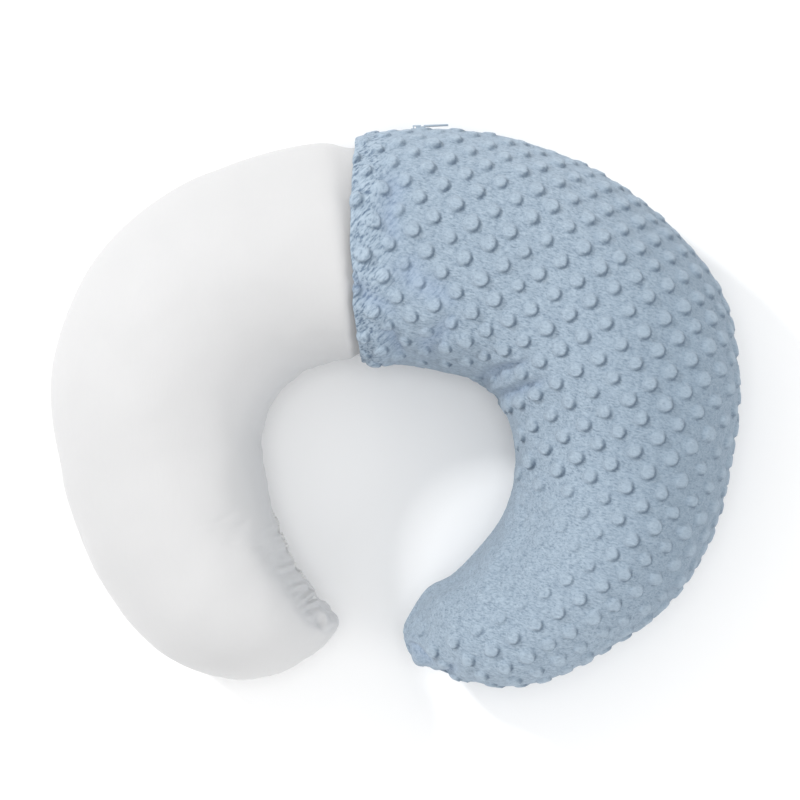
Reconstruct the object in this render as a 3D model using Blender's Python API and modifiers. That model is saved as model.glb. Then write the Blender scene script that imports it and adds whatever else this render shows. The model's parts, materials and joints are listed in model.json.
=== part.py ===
"""Nursing pillow: a C-shaped stuffed pillow with a plush half cover that has a zip.

Metres, +Z up.  The pillow lies flat and its opening faces -Y.  Plan shapes are
worked out about the centre of the hole and are moved to the middle of the
finished object at the end.  Angles run clockwise from the back (+Y).
"""

import math

import bmesh
import bpy
from mathutils import Vector

# Overall sizes
OUTER_RADIUS = 0.263        # hole centre to the bare pillow's back edge
HOLE_RADIUS = 0.100         # mean radius of the hole
CROWN_HEIGHT = 0.084        # seam to the top of the bare pillow
SEAM_HEIGHT = 0.066         # floor to the edge seam
ARM_HALF_WIDTH = 0.092      # widest half width, which has the full crown
NECK_HALF_WIDTH = 0.070     # below this half width the seam dips towards the tip
TIP_HALF_WIDTH = 0.040      # below this the seam stays level again
TIP_SEAM_SHARE = 0.25       # how high the seam would be at no width at all
TIP_BLUNTNESS = 12          # a larger power gives a blunter tip
CROWN_GROWTH = 0.6          # how the crown's height follows the arm's width
CROWN_ROUNDNESS = 0.9       # 1 is an ellipse, less is fuller
BELLY_DEPTH = 1.15          # the underside would bulge this far below the floor
BELLY_GROWTH = 0.3
BELLY_ROUNDNESS = 0.8

# Edges of the two arms: (angle in degrees, share of the radius)
BARE_TIP = 162.0
BARE_OUTER = ((0, 1.0), (25, 1.049), (50, 1.105), (70, 1.084), (90, 1.004),
              (110, 0.943), (130, 0.886), (150, 0.753), (162, 0.608))
BARE_INNER = ((0, 0.93), (25, 0.98), (50, 1.065), (70, 1.06), (90, 0.98),
              (110, 0.96), (130, 0.99), (150, 1.02), (162, 1.0))
COVER_TIP = 177.0
COVER_OUTER = ((70, 1.101), (90, 1.040), (110, 0.968), (130, 0.865),
               (150, 0.790), (165, 0.684), (177, 0.624))
COVER_INNER = ((-30, 0.95), (0, 0.84), (25, 0.865), (50, 0.99), (70, 0.975), (90, 0.94),
               (110, 0.905), (130, 0.866), (150, 0.862), (165, 0.848), (177, 0.96))

# The cover's outer edge is a true arc where the zip runs
ARC_SHIFT = 0.030           # arc centre, to the right of the hole centre
ARC_STANDOFF = 0.013        # the arc's radius is this much more than OUTER_RADIUS
ARC_MARGIN = 1.5            # degrees of true arc past the zip's end
ARC_LEAD = 8.0              # the curve past the arc still follows this much of it
ARC_FADE = 8.0              # degrees in which the curve leaves the arc

# Mouth of the cover, near the middle of the back
MOUTH = -10.0               # station of the mouth
FACING_END = 0.0            # station where the band that lines the mouth stops
MOUTH_SKEW_OUTER = 3.5      # turns the mouth square to the arm
MOUTH_SKEW_INNER = -6.5
SKEW_FADE = 20.0            # degrees over which the skew dies out on the bare arm
NECK_START = 8.0            # the bare arm narrows this far before the mouth
NECK_END = 1.0

# Cloth
TICKING = 0.0008            # white shell
SEAM_ALLOWANCE = 0.008      # turned-in edge of the white shell
PLUSH = 0.003               # dotted cover
FACING = 0.0022             # band that lines the mouth
CLOTH_GAP = 0.0005          # between plush and facing
FILL_GAP = 0.0015           # between filling and shell
FLANGE_GAP = 0.0008         # between filling and the turned-in edge
TIP_RELIEF = 0.005          # the filling stops this much shorter in the tips
SEAM_GAP = 0.0003           # between the two halves of the white shell
COVER_SEAM_GAP = 0.0008     # between the two halves of the cover
EDGE_LIP = 0.0025           # upright strip along the cover's edges
REST_GAP = 0.0004           # between pillow and facing, underneath
COVER_ROOM = 0.0098         # cover's outside to the pillow inside it

# Closing stitches on the bare arm's inner edge
THREAD_RADIUS = 0.00035
THREAD_CLEAR = 0.0004
STITCH_PITCH = 1.6          # degrees
STITCH_REACH = 0.0020       # above and below the seam
STITCH_START = -141.0
STITCH_END = -109.0

# Zip
ZIP_LENGTH = 0.280
ZIP_LEAD = 0.24             # degrees of closed edge between the facing and the zip's slot
ZIP_DEPTH = 0.0036          # cover's outside to the middle of the teeth
SLOT_HALF_WIDTH = 0.005     # cover edges stand back this far from the zip
SLOT_MARGIN = 0.5           # degrees past each end of the zip
SLOT_TAPER = 1.5            # degrees
COIL_THICKNESS = 0.0022
COIL_INNER = 0.0005         # from the middle of the zip
COIL_OUTER = 0.0029
TAPE_THICKNESS = 0.0006
TAPE_INNER = 0.0010
TAPE_OUTER = 0.0085
TAPE_GAP = 0.0003
STOP_GAP = 0.0004
TOP_STOP_LENGTH = 0.0025
BOTTOM_STOP_LENGTH = 0.004
SLIDER_LENGTH = 0.010
SLIDER_HALF_WIDTH = 0.0041
SLIDER_PLATE = 0.0012
SLIDER_BACK_PLATE = 0.0009
SLIDER_FLANGE = 0.0009
SLIDER_CLEAR = 0.0004
POST_HALF_WIDTH = 0.00025
POST_LENGTH = 0.003
BRIDGE_WIDTH = 0.0018
BRIDGE_SPAN = 0.0066
BRIDGE_FOOT = 0.0010
BRIDGE_BAR = 0.0009
PIN_RADIUS = 0.0006
PIN_CLEAR = 0.0003
PIN_INSET = 0.00001         # the round pin is this much thinner than the arms it joins
PIN_SIDES = 16
PULL_HALF_WIDTH = 0.003
PULL_ARM = 0.0013
PULL_WINDOW = 0.0055
PULL_LENGTH = 0.025
PULL_THICKNESS = 0.0012
PULL_LIFT = 0.0010          # the tab's middle lies this far outside its pin

# Fineness
STATION_STEP = 9.0
ARCH_ROWS = 9
FIRST_ROW = 8.0             # degrees up from the seam
TIP_SHARES = (0.26, 0.50, 0.71, 0.87)
ZIP_STEPS = 40

ARC_RADIUS = OUTER_RADIUS + ARC_STANDOFF
ZIP_RADIUS = ARC_RADIUS - ZIP_DEPTH
FACING_DEPTH = PLUSH + CLOTH_GAP
PILLOW_FLOOR = FACING_DEPTH + FACING + REST_GAP
TINY = 1e-6
NUDGE = 0.01                # step for finding the way out of the skin


# ---------------------------------------------------------------- plan shape

def smooth_through(points, x):
    """Height at x of a smooth curve through the points."""
    last = len(points) - 1
    i = 0
    while i < last - 1 and x > points[i + 1][0]:
        i += 1

    def slope(j):
        if j == 0 or j == last:
            k = min(j, last - 1)
            return (points[k + 1][1] - points[k][1]) / (points[k + 1][0] - points[k][0])
        before = points[j][0] - points[j - 1][0]
        after = points[j + 1][0] - points[j][0]
        rise_before = (points[j][1] - points[j - 1][1]) / before
        rise_after = (points[j + 1][1] - points[j][1]) / after
        return (rise_before * after + rise_after * before) / (before + after)

    x0, y0 = points[i]
    x1, y1 = points[i + 1]
    width = x1 - x0
    t = (x - x0) / width
    return (y0 * (2 * t ** 3 - 3 * t ** 2 + 1) + slope(i) * width * (t ** 3 - 2 * t ** 2 + t)
            + y1 * (3 * t ** 2 - 2 * t ** 3) + slope(i + 1) * width * (t ** 3 - t ** 2))


def ease(t):
    t = min(1.0, max(0.0, t))
    return t * t * (3 - 2 * t)


def arc_edge(angle):
    """Distance from the hole centre to the zip's arc."""
    turn = math.radians(angle)
    across = ARC_SHIFT * math.cos(turn)
    return ARC_SHIFT * math.sin(turn) + math.sqrt(ARC_RADIUS ** 2 - across ** 2)


def station_of(arc_angle):
    """Angle round the hole centre of a place given round the arc centre."""
    turn = math.radians(arc_angle)
    x = ARC_SHIFT + ARC_RADIUS * math.sin(turn)
    return math.degrees(math.atan2(x, ARC_RADIUS * math.cos(turn)))


def arc_angle_of(station):
    """Angle round the arc centre of the place on the arc at a station."""
    turn = math.radians(station)
    distance = arc_edge(station)
    return math.degrees(math.atan2(distance * math.sin(turn) - ARC_SHIFT, distance * math.cos(turn)))


# Ends of the zip, in degrees round the arc centre, and how far the true arc has to reach
ZIP_START = arc_angle_of(ZIP_LEAD) + SLOT_TAPER + SLOT_MARGIN
ZIP_END = ZIP_START + math.degrees(ZIP_LENGTH / ZIP_RADIUS)
ARC_END = station_of(ZIP_END + SLOT_MARGIN + SLOT_TAPER + ARC_MARGIN)


def outer_edge(side, angle):
    if side == "bare":
        return OUTER_RADIUS * smooth_through(BARE_OUTER, abs(angle))
    if angle <= ARC_END:
        return arc_edge(angle)
    lead_in = tuple((a, arc_edge(a) / OUTER_RADIUS) for a in (ARC_END - ARC_LEAD, ARC_END))
    rest = tuple(point for point in COVER_OUTER if point[0] > ARC_END + ARC_FADE)
    return OUTER_RADIUS * smooth_through(lead_in + rest, angle)


def inner_edge(side, angle):
    if side == "bare":
        return HOLE_RADIUS * smooth_through(BARE_INNER, abs(angle))
    return HOLE_RADIUS * smooth_through(COVER_INNER, angle)


def polar(angle, radius):
    turn = math.radians(angle)
    return Vector((radius * math.sin(turn), radius * math.cos(turn)))


def taper(side, station):
    tip = BARE_TIP if side == "bare" else COVER_TIP
    share = min(1.0, abs(station) / tip)
    return math.sqrt(max(0.0, 1 - share ** TIP_BLUNTNESS))


def skew(station):
    """How square to the arm a station lies: 1 at the mouth, 0 away from it."""
    if station >= 0:
        return 0.0
    if station >= MOUTH:
        return station / MOUTH
    return 1 - ease((MOUTH - station) / SKEW_FADE)


def section(side, station):
    turn = skew(station)
    inner_angle = station + MOUTH_SKEW_INNER * turn
    outer_angle = station + MOUTH_SKEW_OUTER * turn
    inside = polar(inner_angle, inner_edge(side, inner_angle))
    outside = polar(outer_angle, outer_edge(side, outer_angle))
    return (inside + outside) / 2, (outside - inside) / 2, taper(side, station)


def seam_level(half_width):
    share = min(1.0, max(half_width, TIP_HALF_WIDTH) / NECK_HALF_WIDTH)
    rise = math.sin(share * math.pi / 2)
    return SEAM_HEIGHT * (TIP_SEAM_SHARE + (1 - TIP_SEAM_SHARE) * rise)


# --------------------------------------------------------------- stuffed form

def skin(side, station, turn):
    """A point on the stuffed form; turn is 0 at the outer seam and pi at the inner one."""
    middle, half, share = section(side, station)
    fullness = half.length / ARM_HALF_WIDTH
    seam = seam_level(half.length)
    lift = math.sin(turn)
    if lift >= 0:
        z = seam + CROWN_HEIGHT * fullness ** CROWN_GROWTH * share * lift ** CROWN_ROUNDNESS
    else:
        belly = BELLY_DEPTH * SEAM_HEIGHT * fullness ** BELLY_GROWTH * share
        z = seam - belly * (-lift) ** BELLY_ROUNDNESS
    place = middle + half * share * math.cos(turn)
    return Vector((place.x, place.y, z))


def outward(side, station, turn):
    middle, half, share = section(side, station)
    if share < TINY:
        inwards = section(side, station - math.copysign(1.0, station))[0]
        way = middle - inwards
        return Vector((way.x, way.y, 0)).normalized()
    along = skin(side, station + NUDGE, turn) - skin(side, station - NUDGE, turn)
    around = skin(side, station, turn + NUDGE) - skin(side, station, turn - NUDGE)
    normal = along.cross(around).normalized()
    heart = Vector((middle.x, middle.y, seam_level(half.length)))
    return normal if normal.dot(skin(side, station, turn) - heart) > 0 else -normal


def sunk(side, station, turn, depth):
    return skin(side, station, turn) - outward(side, station, turn) * depth


def covered(station):
    """0 on the bare arm, 1 inside the cover."""
    return ease((station - (MOUTH - NECK_START)) / (NECK_START - NECK_END))


def pillow_point(station, turn, depth):
    share = covered(station)
    place = Vector()
    if share < 1:
        place += (1 - share) * sunk("bare", station, turn, depth)
    if share > 0:
        place += share * sunk("cover", station, turn, COVER_ROOM + depth)
    place.z = max(place.z, share * PILLOW_FLOOR + depth)
    return place


def pillow_edge(station, turn, depth, rise):
    place = pillow_point(station, turn, depth)
    share = covered(station)
    place.z = rise
    for side, part in (("bare", 1 - share), ("cover", share)):
        if part > 0:
            place.z += part * seam_level(section(side, station)[1].length)
    return place


def cover_point(station, turn, depth=0.0):
    place = sunk("cover", station, turn, depth)
    place.z = max(place.z, depth)
    return place


def arch_turns(up):
    step = (180 - 2 * FIRST_ROW) / (ARCH_ROWS - 1)
    return [math.radians(up * (FIRST_ROW + step * i)) for i in range(ARCH_ROWS)]


def tip_stations(tip):
    return [tip * (1 - share * share) ** (1 / TIP_BLUNTNESS) for share in TIP_SHARES]


def evenly(start, stop):
    count = max(1, round(abs(stop - start) / STATION_STEP))
    return [start + (stop - start) * i / count for i in range(count)]


def cover_stations():
    slot = [station_of(a) for a in (ZIP_START - SLOT_MARGIN - SLOT_TAPER, ZIP_START - SLOT_MARGIN,
                                    ZIP_END + SLOT_MARGIN, ZIP_END + SLOT_MARGIN + SLOT_TAPER)]
    tips = sorted(tip_stations(COVER_TIP))
    stations = [MOUTH, (MOUTH + FACING_END) / 2, FACING_END, slot[0]]
    stations += evenly(slot[1], slot[2]) + [slot[2]]
    stations += evenly(slot[3], tips[0]) + tips + [COVER_TIP]
    return stations


def pillow_stations():
    tips = sorted(-s for s in tip_stations(BARE_TIP))
    stations = [-BARE_TIP] + tips[:-1] + evenly(tips[-1], MOUTH - NECK_START)
    stations += [MOUTH - NECK_START, MOUTH - (NECK_START + NECK_END) / 2, MOUTH - NECK_END]
    return stations + cover_stations()


# -------------------------------------------------------------------- helpers

def empty_scene():
    for thing in list(bpy.data.objects):
        bpy.data.objects.remove(thing, do_unlink=True)


def new_collection(name):
    collection = bpy.data.collections.new(name)
    bpy.context.scene.collection.children.link(collection)
    return collection


def new_empty(name, parent, location, turn=0.0):
    empty = bpy.data.objects.new(name, None)
    empty.location = location
    empty.rotation_euler = (0, 0, turn)
    empty.empty_display_size = 0.02
    empty.parent = parent
    PARTS.objects.link(empty)
    return empty


def new_material(name, color, roughness, metallic=0.0):
    material = bpy.data.materials.new(name)
    material.use_nodes = True
    shader = material.node_tree.nodes["Principled BSDF"]
    shader.inputs["Base Color"].default_value = (*color, 1)
    shader.inputs["Roughness"].default_value = roughness
    shader.inputs["Metallic"].default_value = metallic
    return material


def new_part(name, bm, parent, material, smooth=True):
    mesh = bpy.data.meshes.new(name)
    bm.to_mesh(mesh)
    bm.free()
    if smooth:
        mesh.shade_smooth()
    mesh.materials.append(material)
    part = bpy.data.objects.new(name, mesh)
    part.parent = parent
    PARTS.objects.link(part)
    return part


def loft(rings, closed):
    """Joins rings of equally many points; points that coincide at a tip are merged."""
    bm = bmesh.new()
    rows = [[bm.verts.new(point) for point in ring] for ring in rings]
    across = len(rings[0]) if closed else len(rings[0]) - 1
    for row, next_row in zip(rows, rows[1:]):
        for j in range(across):
            k = (j + 1) % len(row)
            bm.faces.new((row[j], row[k], next_row[k], next_row[j]))
    bmesh.ops.remove_doubles(bm, verts=bm.verts, dist=TINY)
    return bm


def face_out(bm, up):
    """Turns an open sheet so that its highest or lowest face looks away from the filling."""
    bmesh.ops.recalc_face_normals(bm, faces=bm.faces)
    bm.normal_update()
    extreme = max(bm.faces, key=lambda face: up * face.calc_center_median().z)
    if extreme.normal.z * up < 0:
        bmesh.ops.reverse_faces(bm, faces=bm.faces)


def thicken(part, thickness):
    shell = part.modifiers.new("cloth", "SOLIDIFY")
    shell.thickness = thickness
    shell.offset = -1
    shell.use_quality_normals = True


def box(name, low, high, collection, parent=None):
    bpy.ops.mesh.primitive_cube_add(size=1)
    block = bpy.context.object
    block.name = name
    for vert in block.data.vertices:
        share = vert.co + Vector((0.5, 0.5, 0.5))
        vert.co = [low[i] + (high[i] - low[i]) * share[i] for i in range(3)]
    for owner in list(block.users_collection):
        owner.objects.unlink(block)
    collection.objects.link(block)
    block.parent = parent
    return block


def unite(part, extra):
    extra.parent = part.parent
    extra.location = part.location
    extra.rotation_euler = part.rotation_euler
    extra.hide_render = True
    extra.display_type = "WIRE"
    join = part.modifiers.new(extra.name, "BOOLEAN")
    join.operation = "UNION"
    join.solver = "EXACT"
    join.object = extra


# --------------------------------------------------------------- white pillow

def fill_rings():
    """The filling has a groove round its edge for the seam allowance of the shell."""
    lip = SEAM_GAP / 2 + TICKING + FLANGE_GAP
    rings = []
    for station in pillow_stations():
        at_tip = station in (-BARE_TIP, COVER_TIP)
        side = "bare" if station < 0 else "cover"
        depth = TICKING + FILL_GAP + TIP_RELIEF * (1 - taper(side, station))
        groove = depth + SEAM_ALLOWANCE + TICKING
        ring = []
        for up in (1, -1):
            edges = (0, math.pi) if up > 0 else (math.pi, 0)
            turns = arch_turns(up) if up > 0 else list(reversed(arch_turns(up)))
            first, last = (pillow_edge(station, turn, depth, up * lip) for turn in edges)
            ring.append(pillow_edge(station, edges[0], groove, up * lip))
            ring.append(first)
            ring += [first if at_tip else pillow_point(station, turn, depth) for turn in turns]
            ring.append(last)
            ring.append(pillow_edge(station, edges[1], groove, up * lip))
        rings.append(ring)
    return rings


def make_filling(parent, material):
    bm = loft(fill_rings(), closed=True)
    bmesh.ops.recalc_face_normals(bm, faces=bm.faces)
    new_part("fibre_fill", bm, parent, material)


def make_pillow_panel(name, up, parent, material):
    rise = up * SEAM_GAP / 2
    rings = []
    for station in pillow_stations():
        at_tip = station in (-BARE_TIP, COVER_TIP)
        edge = pillow_edge(station, 0, 0, rise)
        ring = [pillow_edge(station, 0, SEAM_ALLOWANCE, rise), edge]
        ring += [edge if at_tip else pillow_point(station, turn, 0) for turn in arch_turns(up)]
        ring.append(pillow_edge(station, math.pi, 0, rise))
        ring.append(pillow_edge(station, math.pi, SEAM_ALLOWANCE, rise))
        rings.append(ring)
    bm = loft(rings, closed=False)
    face_out(bm, up)
    thicken(new_part(name, bm, parent, material), TICKING)


def make_closing_thread(parent, material):
    """Slanting stitches that draw the filling opening shut."""
    stations = pillow_stations()
    clear = THREAD_RADIUS + THREAD_CLEAR
    count = round((STITCH_END - STITCH_START) / STITCH_PITCH)
    points = []
    for i in range(count + 1):
        station = STITCH_START + STITCH_PITCH * i
        after = min(s for s in stations if s >= station)
        before = max(s for s in stations if s < station)
        share = (station - before) / (after - before)
        reach = STITCH_REACH if i % 2 else -STITCH_REACH
        ends = [pillow_edge(s, math.pi, -clear, reach) for s in (before, after)]
        points.append(ends[0].lerp(ends[1], share))
    curve = bpy.data.curves.new("closing_thread", "CURVE")
    curve.dimensions = "3D"
    curve.bevel_depth = THREAD_RADIUS
    curve.bevel_resolution = 1
    curve.use_fill_caps = True
    curve.materials.append(material)
    spline = curve.splines.new("POLY")
    spline.points.add(len(points) - 1)
    for target, point in zip(spline.points, points):
        target.co = (*point, 1)
    thread = bpy.data.objects.new("closing_thread", curve)
    thread.parent = parent
    PARTS.objects.link(thread)


# --------------------------------------------------------------- dotted cover

def slot_rise(station):
    """Half the gap between the cover's edges: wide along the zip, closed elsewhere."""
    start, stop = (station_of(a) for a in (ZIP_START - SLOT_MARGIN, ZIP_END + SLOT_MARGIN))
    wide = start - TINY <= station <= stop + TINY
    return SLOT_HALF_WIDTH if wide else COVER_SEAM_GAP / 2


def cover_edge(station, turn, rise):
    place = cover_point(station, turn)
    place.z = seam_level(section("cover", station)[1].length) + rise
    return place


def make_cover_panel(name, up, parent, material):
    rings = []
    for station in cover_stations():
        at_tip = station == COVER_TIP
        outer_rise, inner_rise = slot_rise(station), COVER_SEAM_GAP / 2
        lip = EDGE_LIP * taper("cover", station)
        outer = [cover_edge(station, 0, up * (outer_rise + rise)) for rise in (0, lip)]
        inner = [cover_edge(station, math.pi, up * (inner_rise + rise)) for rise in (lip, 0)]
        arch = [outer[1] if at_tip else cover_point(station, turn) for turn in arch_turns(up)]
        rings.append(outer + arch + inner)
    bm = loft(rings, closed=False)
    face_out(bm, up)
    thicken(new_part(name, bm, parent, material), PLUSH)


def make_mouth_facing(parent, material):
    turns = [0.0] + arch_turns(1) + [math.pi] + list(reversed(arch_turns(-1)))
    rings = [[cover_point(station, turn, FACING_DEPTH) for turn in turns]
             for station in (MOUTH, (MOUTH + FACING_END) / 2, FACING_END)]
    bm = loft(rings, closed=True)
    face_out(bm, 1)
    thicken(new_part("cover_mouth_facing", bm, parent, material), FACING)


# ------------------------------------------------------------------------ zip

def arc_bar(name, inside, outside, low, high, start, length, parent, material):
    """A bar of rectangular section bent round the arc centre; start in metres along the zip."""
    first = math.radians(ZIP_START) + start / ZIP_RADIUS
    sweep = length / ZIP_RADIUS
    steps = max(2, math.ceil(ZIP_STEPS * length / ZIP_LENGTH))
    bm = bmesh.new()
    corners = ((inside, low), (outside, low), (outside, high), (inside, high))
    verts = [bm.verts.new((r * math.sin(first), r * math.cos(first), z)) for r, z in corners]
    face = bm.faces.new(verts)
    geometry = [face] + list(face.edges) + verts
    bmesh.ops.spin(bm, geom=geometry, cent=(0, 0, 0), axis=(0, 0, -1), angle=sweep,
                   steps=steps, use_duplicate=False)
    bmesh.ops.recalc_face_normals(bm, faces=bm.faces)
    return new_part(name, bm, parent, material, smooth=False)


def make_zip_rows(parent, tape_material, coil_material, stop_material):
    coil_in = ZIP_RADIUS - COIL_THICKNESS / 2
    coil_out = coil_in + COIL_THICKNESS
    tape_out = coil_in - TAPE_GAP
    coil_start = TOP_STOP_LENGTH + STOP_GAP
    coil_length = ZIP_LENGTH - coil_start - BOTTOM_STOP_LENGTH - STOP_GAP
    for row, up in (("upper", 1), ("lower", -1)):
        tape_ends = sorted((up * TAPE_INNER, up * TAPE_OUTER))
        coil_ends = sorted((up * COIL_INNER, up * COIL_OUTER))
        arc_bar("zip_tape_" + row, tape_out - TAPE_THICKNESS, tape_out, *tape_ends,
                0, ZIP_LENGTH, parent, tape_material)
        arc_bar("zip_coil_" + row, coil_in, coil_out, *coil_ends,
                coil_start, coil_length, parent, coil_material)
        arc_bar("zip_top_stop_" + row, coil_in, coil_out, *coil_ends,
                0, TOP_STOP_LENGTH, parent, stop_material)
    arc_bar("zip_bottom_stop", coil_in, coil_out, -COIL_OUTER, COIL_OUTER,
            ZIP_LENGTH - BOTTOM_STOP_LENGTH, BOTTOM_STOP_LENGTH, parent, stop_material)


def slider_levels():
    """Radial levels of the slider, measured from the middle of the teeth."""
    plate = COIL_THICKNESS / 2 + SLIDER_CLEAR
    back = -COIL_THICKNESS / 2 - TAPE_GAP - TAPE_THICKNESS - TAPE_GAP
    pin = plate + SLIDER_PLATE + PIN_CLEAR + PIN_RADIUS
    return plate, back, pin


def make_slider(axis, material):
    """Local frame: x along the zip, y out of the cover, z across the zip."""
    plate, back, pin = slider_levels()
    half = SLIDER_LENGTH / 2
    wide = SLIDER_HALF_WIDTH
    place = (0, ZIP_RADIUS, 0)
    slider = box("zip_slider", (-half, plate, -wide), (half, plate + SLIDER_PLATE, wide), PARTS, axis)
    slider.location = place
    slider.data.materials.append(material)
    flange_foot = -COIL_THICKNESS / 2 + SLIDER_CLEAR - TAPE_GAP
    bar_low = pin + PIN_RADIUS + PIN_CLEAR
    bar_high = bar_low + BRIDGE_BAR
    span = BRIDGE_SPAN / 2
    deck = plate + SLIDER_PLATE / 2
    extras = {
        "slider_back": ((-half, back - SLIDER_BACK_PLATE, -wide), (half, back, wide)),
        "slider_post": ((-half, back - SLIDER_BACK_PLATE / 2, -POST_HALF_WIDTH),
                        (-half + POST_LENGTH, deck, POST_HALF_WIDTH)),
        "slider_flange_upper": ((-half, flange_foot, wide - SLIDER_FLANGE), (half, deck, wide)),
        "slider_flange_lower": ((-half, flange_foot, -wide), (half, deck, -wide + SLIDER_FLANGE)),
        "bridge_front": ((-span, deck, -BRIDGE_WIDTH / 2),
                         (-span + BRIDGE_FOOT, bar_high, BRIDGE_WIDTH / 2)),
        "bridge_rear": ((span - BRIDGE_FOOT, deck, -BRIDGE_WIDTH / 2),
                        (span, bar_high, BRIDGE_WIDTH / 2)),
        "bridge_bar": ((-span, bar_low, -BRIDGE_WIDTH / 2), (span, bar_high, BRIDGE_WIDTH / 2)),
    }
    for name, (low, high) in extras.items():
        unite(slider, box(name, low, high, SHAPERS))


def make_pull(axis, material):
    """The pull's pin lies under the slider's bridge; the tab starts out flat on the zip."""
    arm_inside = PULL_HALF_WIDTH - PULL_ARM
    low = PULL_LIFT - PULL_THICKNESS / 2
    tab = box("zip_pull", (PULL_WINDOW, low, -PULL_HALF_WIDTH),
              (PULL_LENGTH, low + PULL_THICKNESS, PULL_HALF_WIDTH), PARTS, axis)
    tab.data.materials.append(material)
    for name, low, high in (("pull_arm_upper", arm_inside, PULL_HALF_WIDTH),
                            ("pull_arm_lower", -PULL_HALF_WIDTH, -arm_inside)):
        unite(tab, box(name, (-PIN_RADIUS, -PIN_RADIUS, low),
                       (PULL_WINDOW + PULL_ARM, PIN_RADIUS, high), SHAPERS))
    bpy.ops.mesh.primitive_cylinder_add(vertices=PIN_SIDES, radius=PIN_RADIUS - PIN_INSET,
                                        depth=2 * PULL_HALF_WIDTH - PULL_ARM)
    pin = bpy.context.object
    pin.name = "pull_pin"
    for owner in list(pin.users_collection):
        owner.objects.unlink(pin)
    SHAPERS.objects.link(pin)
    unite(tab, pin)


# ------------------------------------------------------------------- assembly

def build():
    base = new_empty("pillow_base", None, (0, 0, 0))
    cover_axis = new_empty("cover_slide_axis", base, (ARC_SHIFT, 0, 0))
    cover_base = new_empty("cover_base", cover_axis, (-ARC_SHIFT, 0, 0))
    zip_axis = new_empty("zip_axis", cover_axis, (0, 0, SEAM_HEIGHT))

    white = new_material("white_ticking", (0.86, 0.86, 0.87), 0.75)
    wadding = new_material("polyester_fill", (0.93, 0.93, 0.92), 0.95)
    thread = new_material("white_thread", (0.85, 0.85, 0.84), 0.6)
    blue = new_material("blue_plush", (0.49, 0.59, 0.68), 0.95)
    facing = new_material("blue_facing", (0.50, 0.60, 0.69), 0.85)
    tape = new_material("zip_tape", (0.47, 0.57, 0.66), 0.8)
    coil = new_material("zip_coil", (0.45, 0.55, 0.64), 0.4)
    metal = new_material("zip_metal", (0.72, 0.73, 0.75), 0.3, 1.0)

    make_filling(base, wadding)
    make_pillow_panel("pillow_top_panel", 1, base, white)
    make_pillow_panel("pillow_bottom_panel", -1, base, white)
    make_closing_thread(base, thread)
    make_cover_panel("cover_top_panel", 1, cover_base, blue)
    make_cover_panel("cover_bottom_panel", -1, cover_base, blue)
    make_mouth_facing(cover_base, facing)
    make_zip_rows(zip_axis, tape, coil, metal)

    rest = TOP_STOP_LENGTH + STOP_GAP + SLIDER_CLEAR + SLIDER_LENGTH / 2
    rest_angle = ZIP_START + math.degrees(rest / ZIP_RADIUS)
    travel_axis = new_empty("zip_travel_axis", zip_axis, (0, 0, 0), -math.radians(rest_angle))
    make_slider(travel_axis, metal)
    swing_axis = new_empty("pull_swing_axis", travel_axis, (0, ZIP_RADIUS + slider_levels()[2], 0))
    make_pull(swing_axis, metal)

    centre_on_floor(base)
    far = ZIP_LENGTH - BOTTOM_STOP_LENGTH - STOP_GAP - SLIDER_CLEAR - SLIDER_LENGTH / 2
    print("zip travel, degrees:", round(math.degrees((far - rest) / ZIP_RADIUS), 2))
    for axis in (cover_axis, travel_axis, swing_axis):
        print(axis.name, [round(v, 5) for v in axis.matrix_world.translation])


def centre_on_floor(base):
    """Moves the whole object so that the middle of its underside is the origin."""
    bpy.context.view_layer.update()
    graph = bpy.context.evaluated_depsgraph_get()
    corners = []
    for part in PARTS.objects:
        if part.type in ("MESH", "CURVE"):
            shape = part.evaluated_get(graph)
            mesh = shape.to_mesh()
            corners += [shape.matrix_world @ vert.co for vert in mesh.vertices]
            shape.to_mesh_clear()
    low = [min(c[i] for c in corners) for i in range(3)]
    high = [max(c[i] for c in corners) for i in range(3)]
    base.location = (-(low[0] + high[0]) / 2, -(low[1] + high[1]) / 2, -low[2])
    bpy.context.view_layer.update()
    print("size:", [round(high[i] - low[i], 4) for i in range(3)])
    print("base:", [round(v, 5) for v in base.location])


empty_scene()
PARTS = new_collection("nursing_pillow")
SHAPERS = new_collection("shaping_bodies")
build()
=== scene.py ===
import json
import math

import bmesh
import bpy
import numpy as np
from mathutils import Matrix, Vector, kdtree, noise


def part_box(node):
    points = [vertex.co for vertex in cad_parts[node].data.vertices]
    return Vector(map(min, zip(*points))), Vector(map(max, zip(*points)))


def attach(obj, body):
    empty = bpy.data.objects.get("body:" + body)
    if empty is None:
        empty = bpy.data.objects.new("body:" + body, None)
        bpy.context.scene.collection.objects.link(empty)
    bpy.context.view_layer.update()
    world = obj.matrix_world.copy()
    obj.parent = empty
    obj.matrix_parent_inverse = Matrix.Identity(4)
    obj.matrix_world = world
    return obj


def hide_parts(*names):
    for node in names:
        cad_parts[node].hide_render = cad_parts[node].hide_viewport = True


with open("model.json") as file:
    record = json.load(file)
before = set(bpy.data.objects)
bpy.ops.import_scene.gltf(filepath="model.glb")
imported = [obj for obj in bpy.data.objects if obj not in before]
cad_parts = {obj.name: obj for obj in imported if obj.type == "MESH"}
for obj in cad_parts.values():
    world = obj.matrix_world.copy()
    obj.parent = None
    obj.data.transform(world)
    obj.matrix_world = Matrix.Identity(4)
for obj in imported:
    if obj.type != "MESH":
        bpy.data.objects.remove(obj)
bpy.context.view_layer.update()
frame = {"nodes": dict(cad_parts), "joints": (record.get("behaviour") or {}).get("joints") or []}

# A C-shaped nursing pillow lying flat, its right half in a dotted plush cover with a zip.
# Metres.  Stations are degrees clockwise from the back, round the middle of the hole;
# turns go round the stuffed arm, 0 at the outer seam and 180 at the inner seam.

joints = {joint["name"]: Vector(joint["pos_m"]) for joint in frame["joints"]}
scene = bpy.context.scene


# Camera, looking straight down

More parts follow.
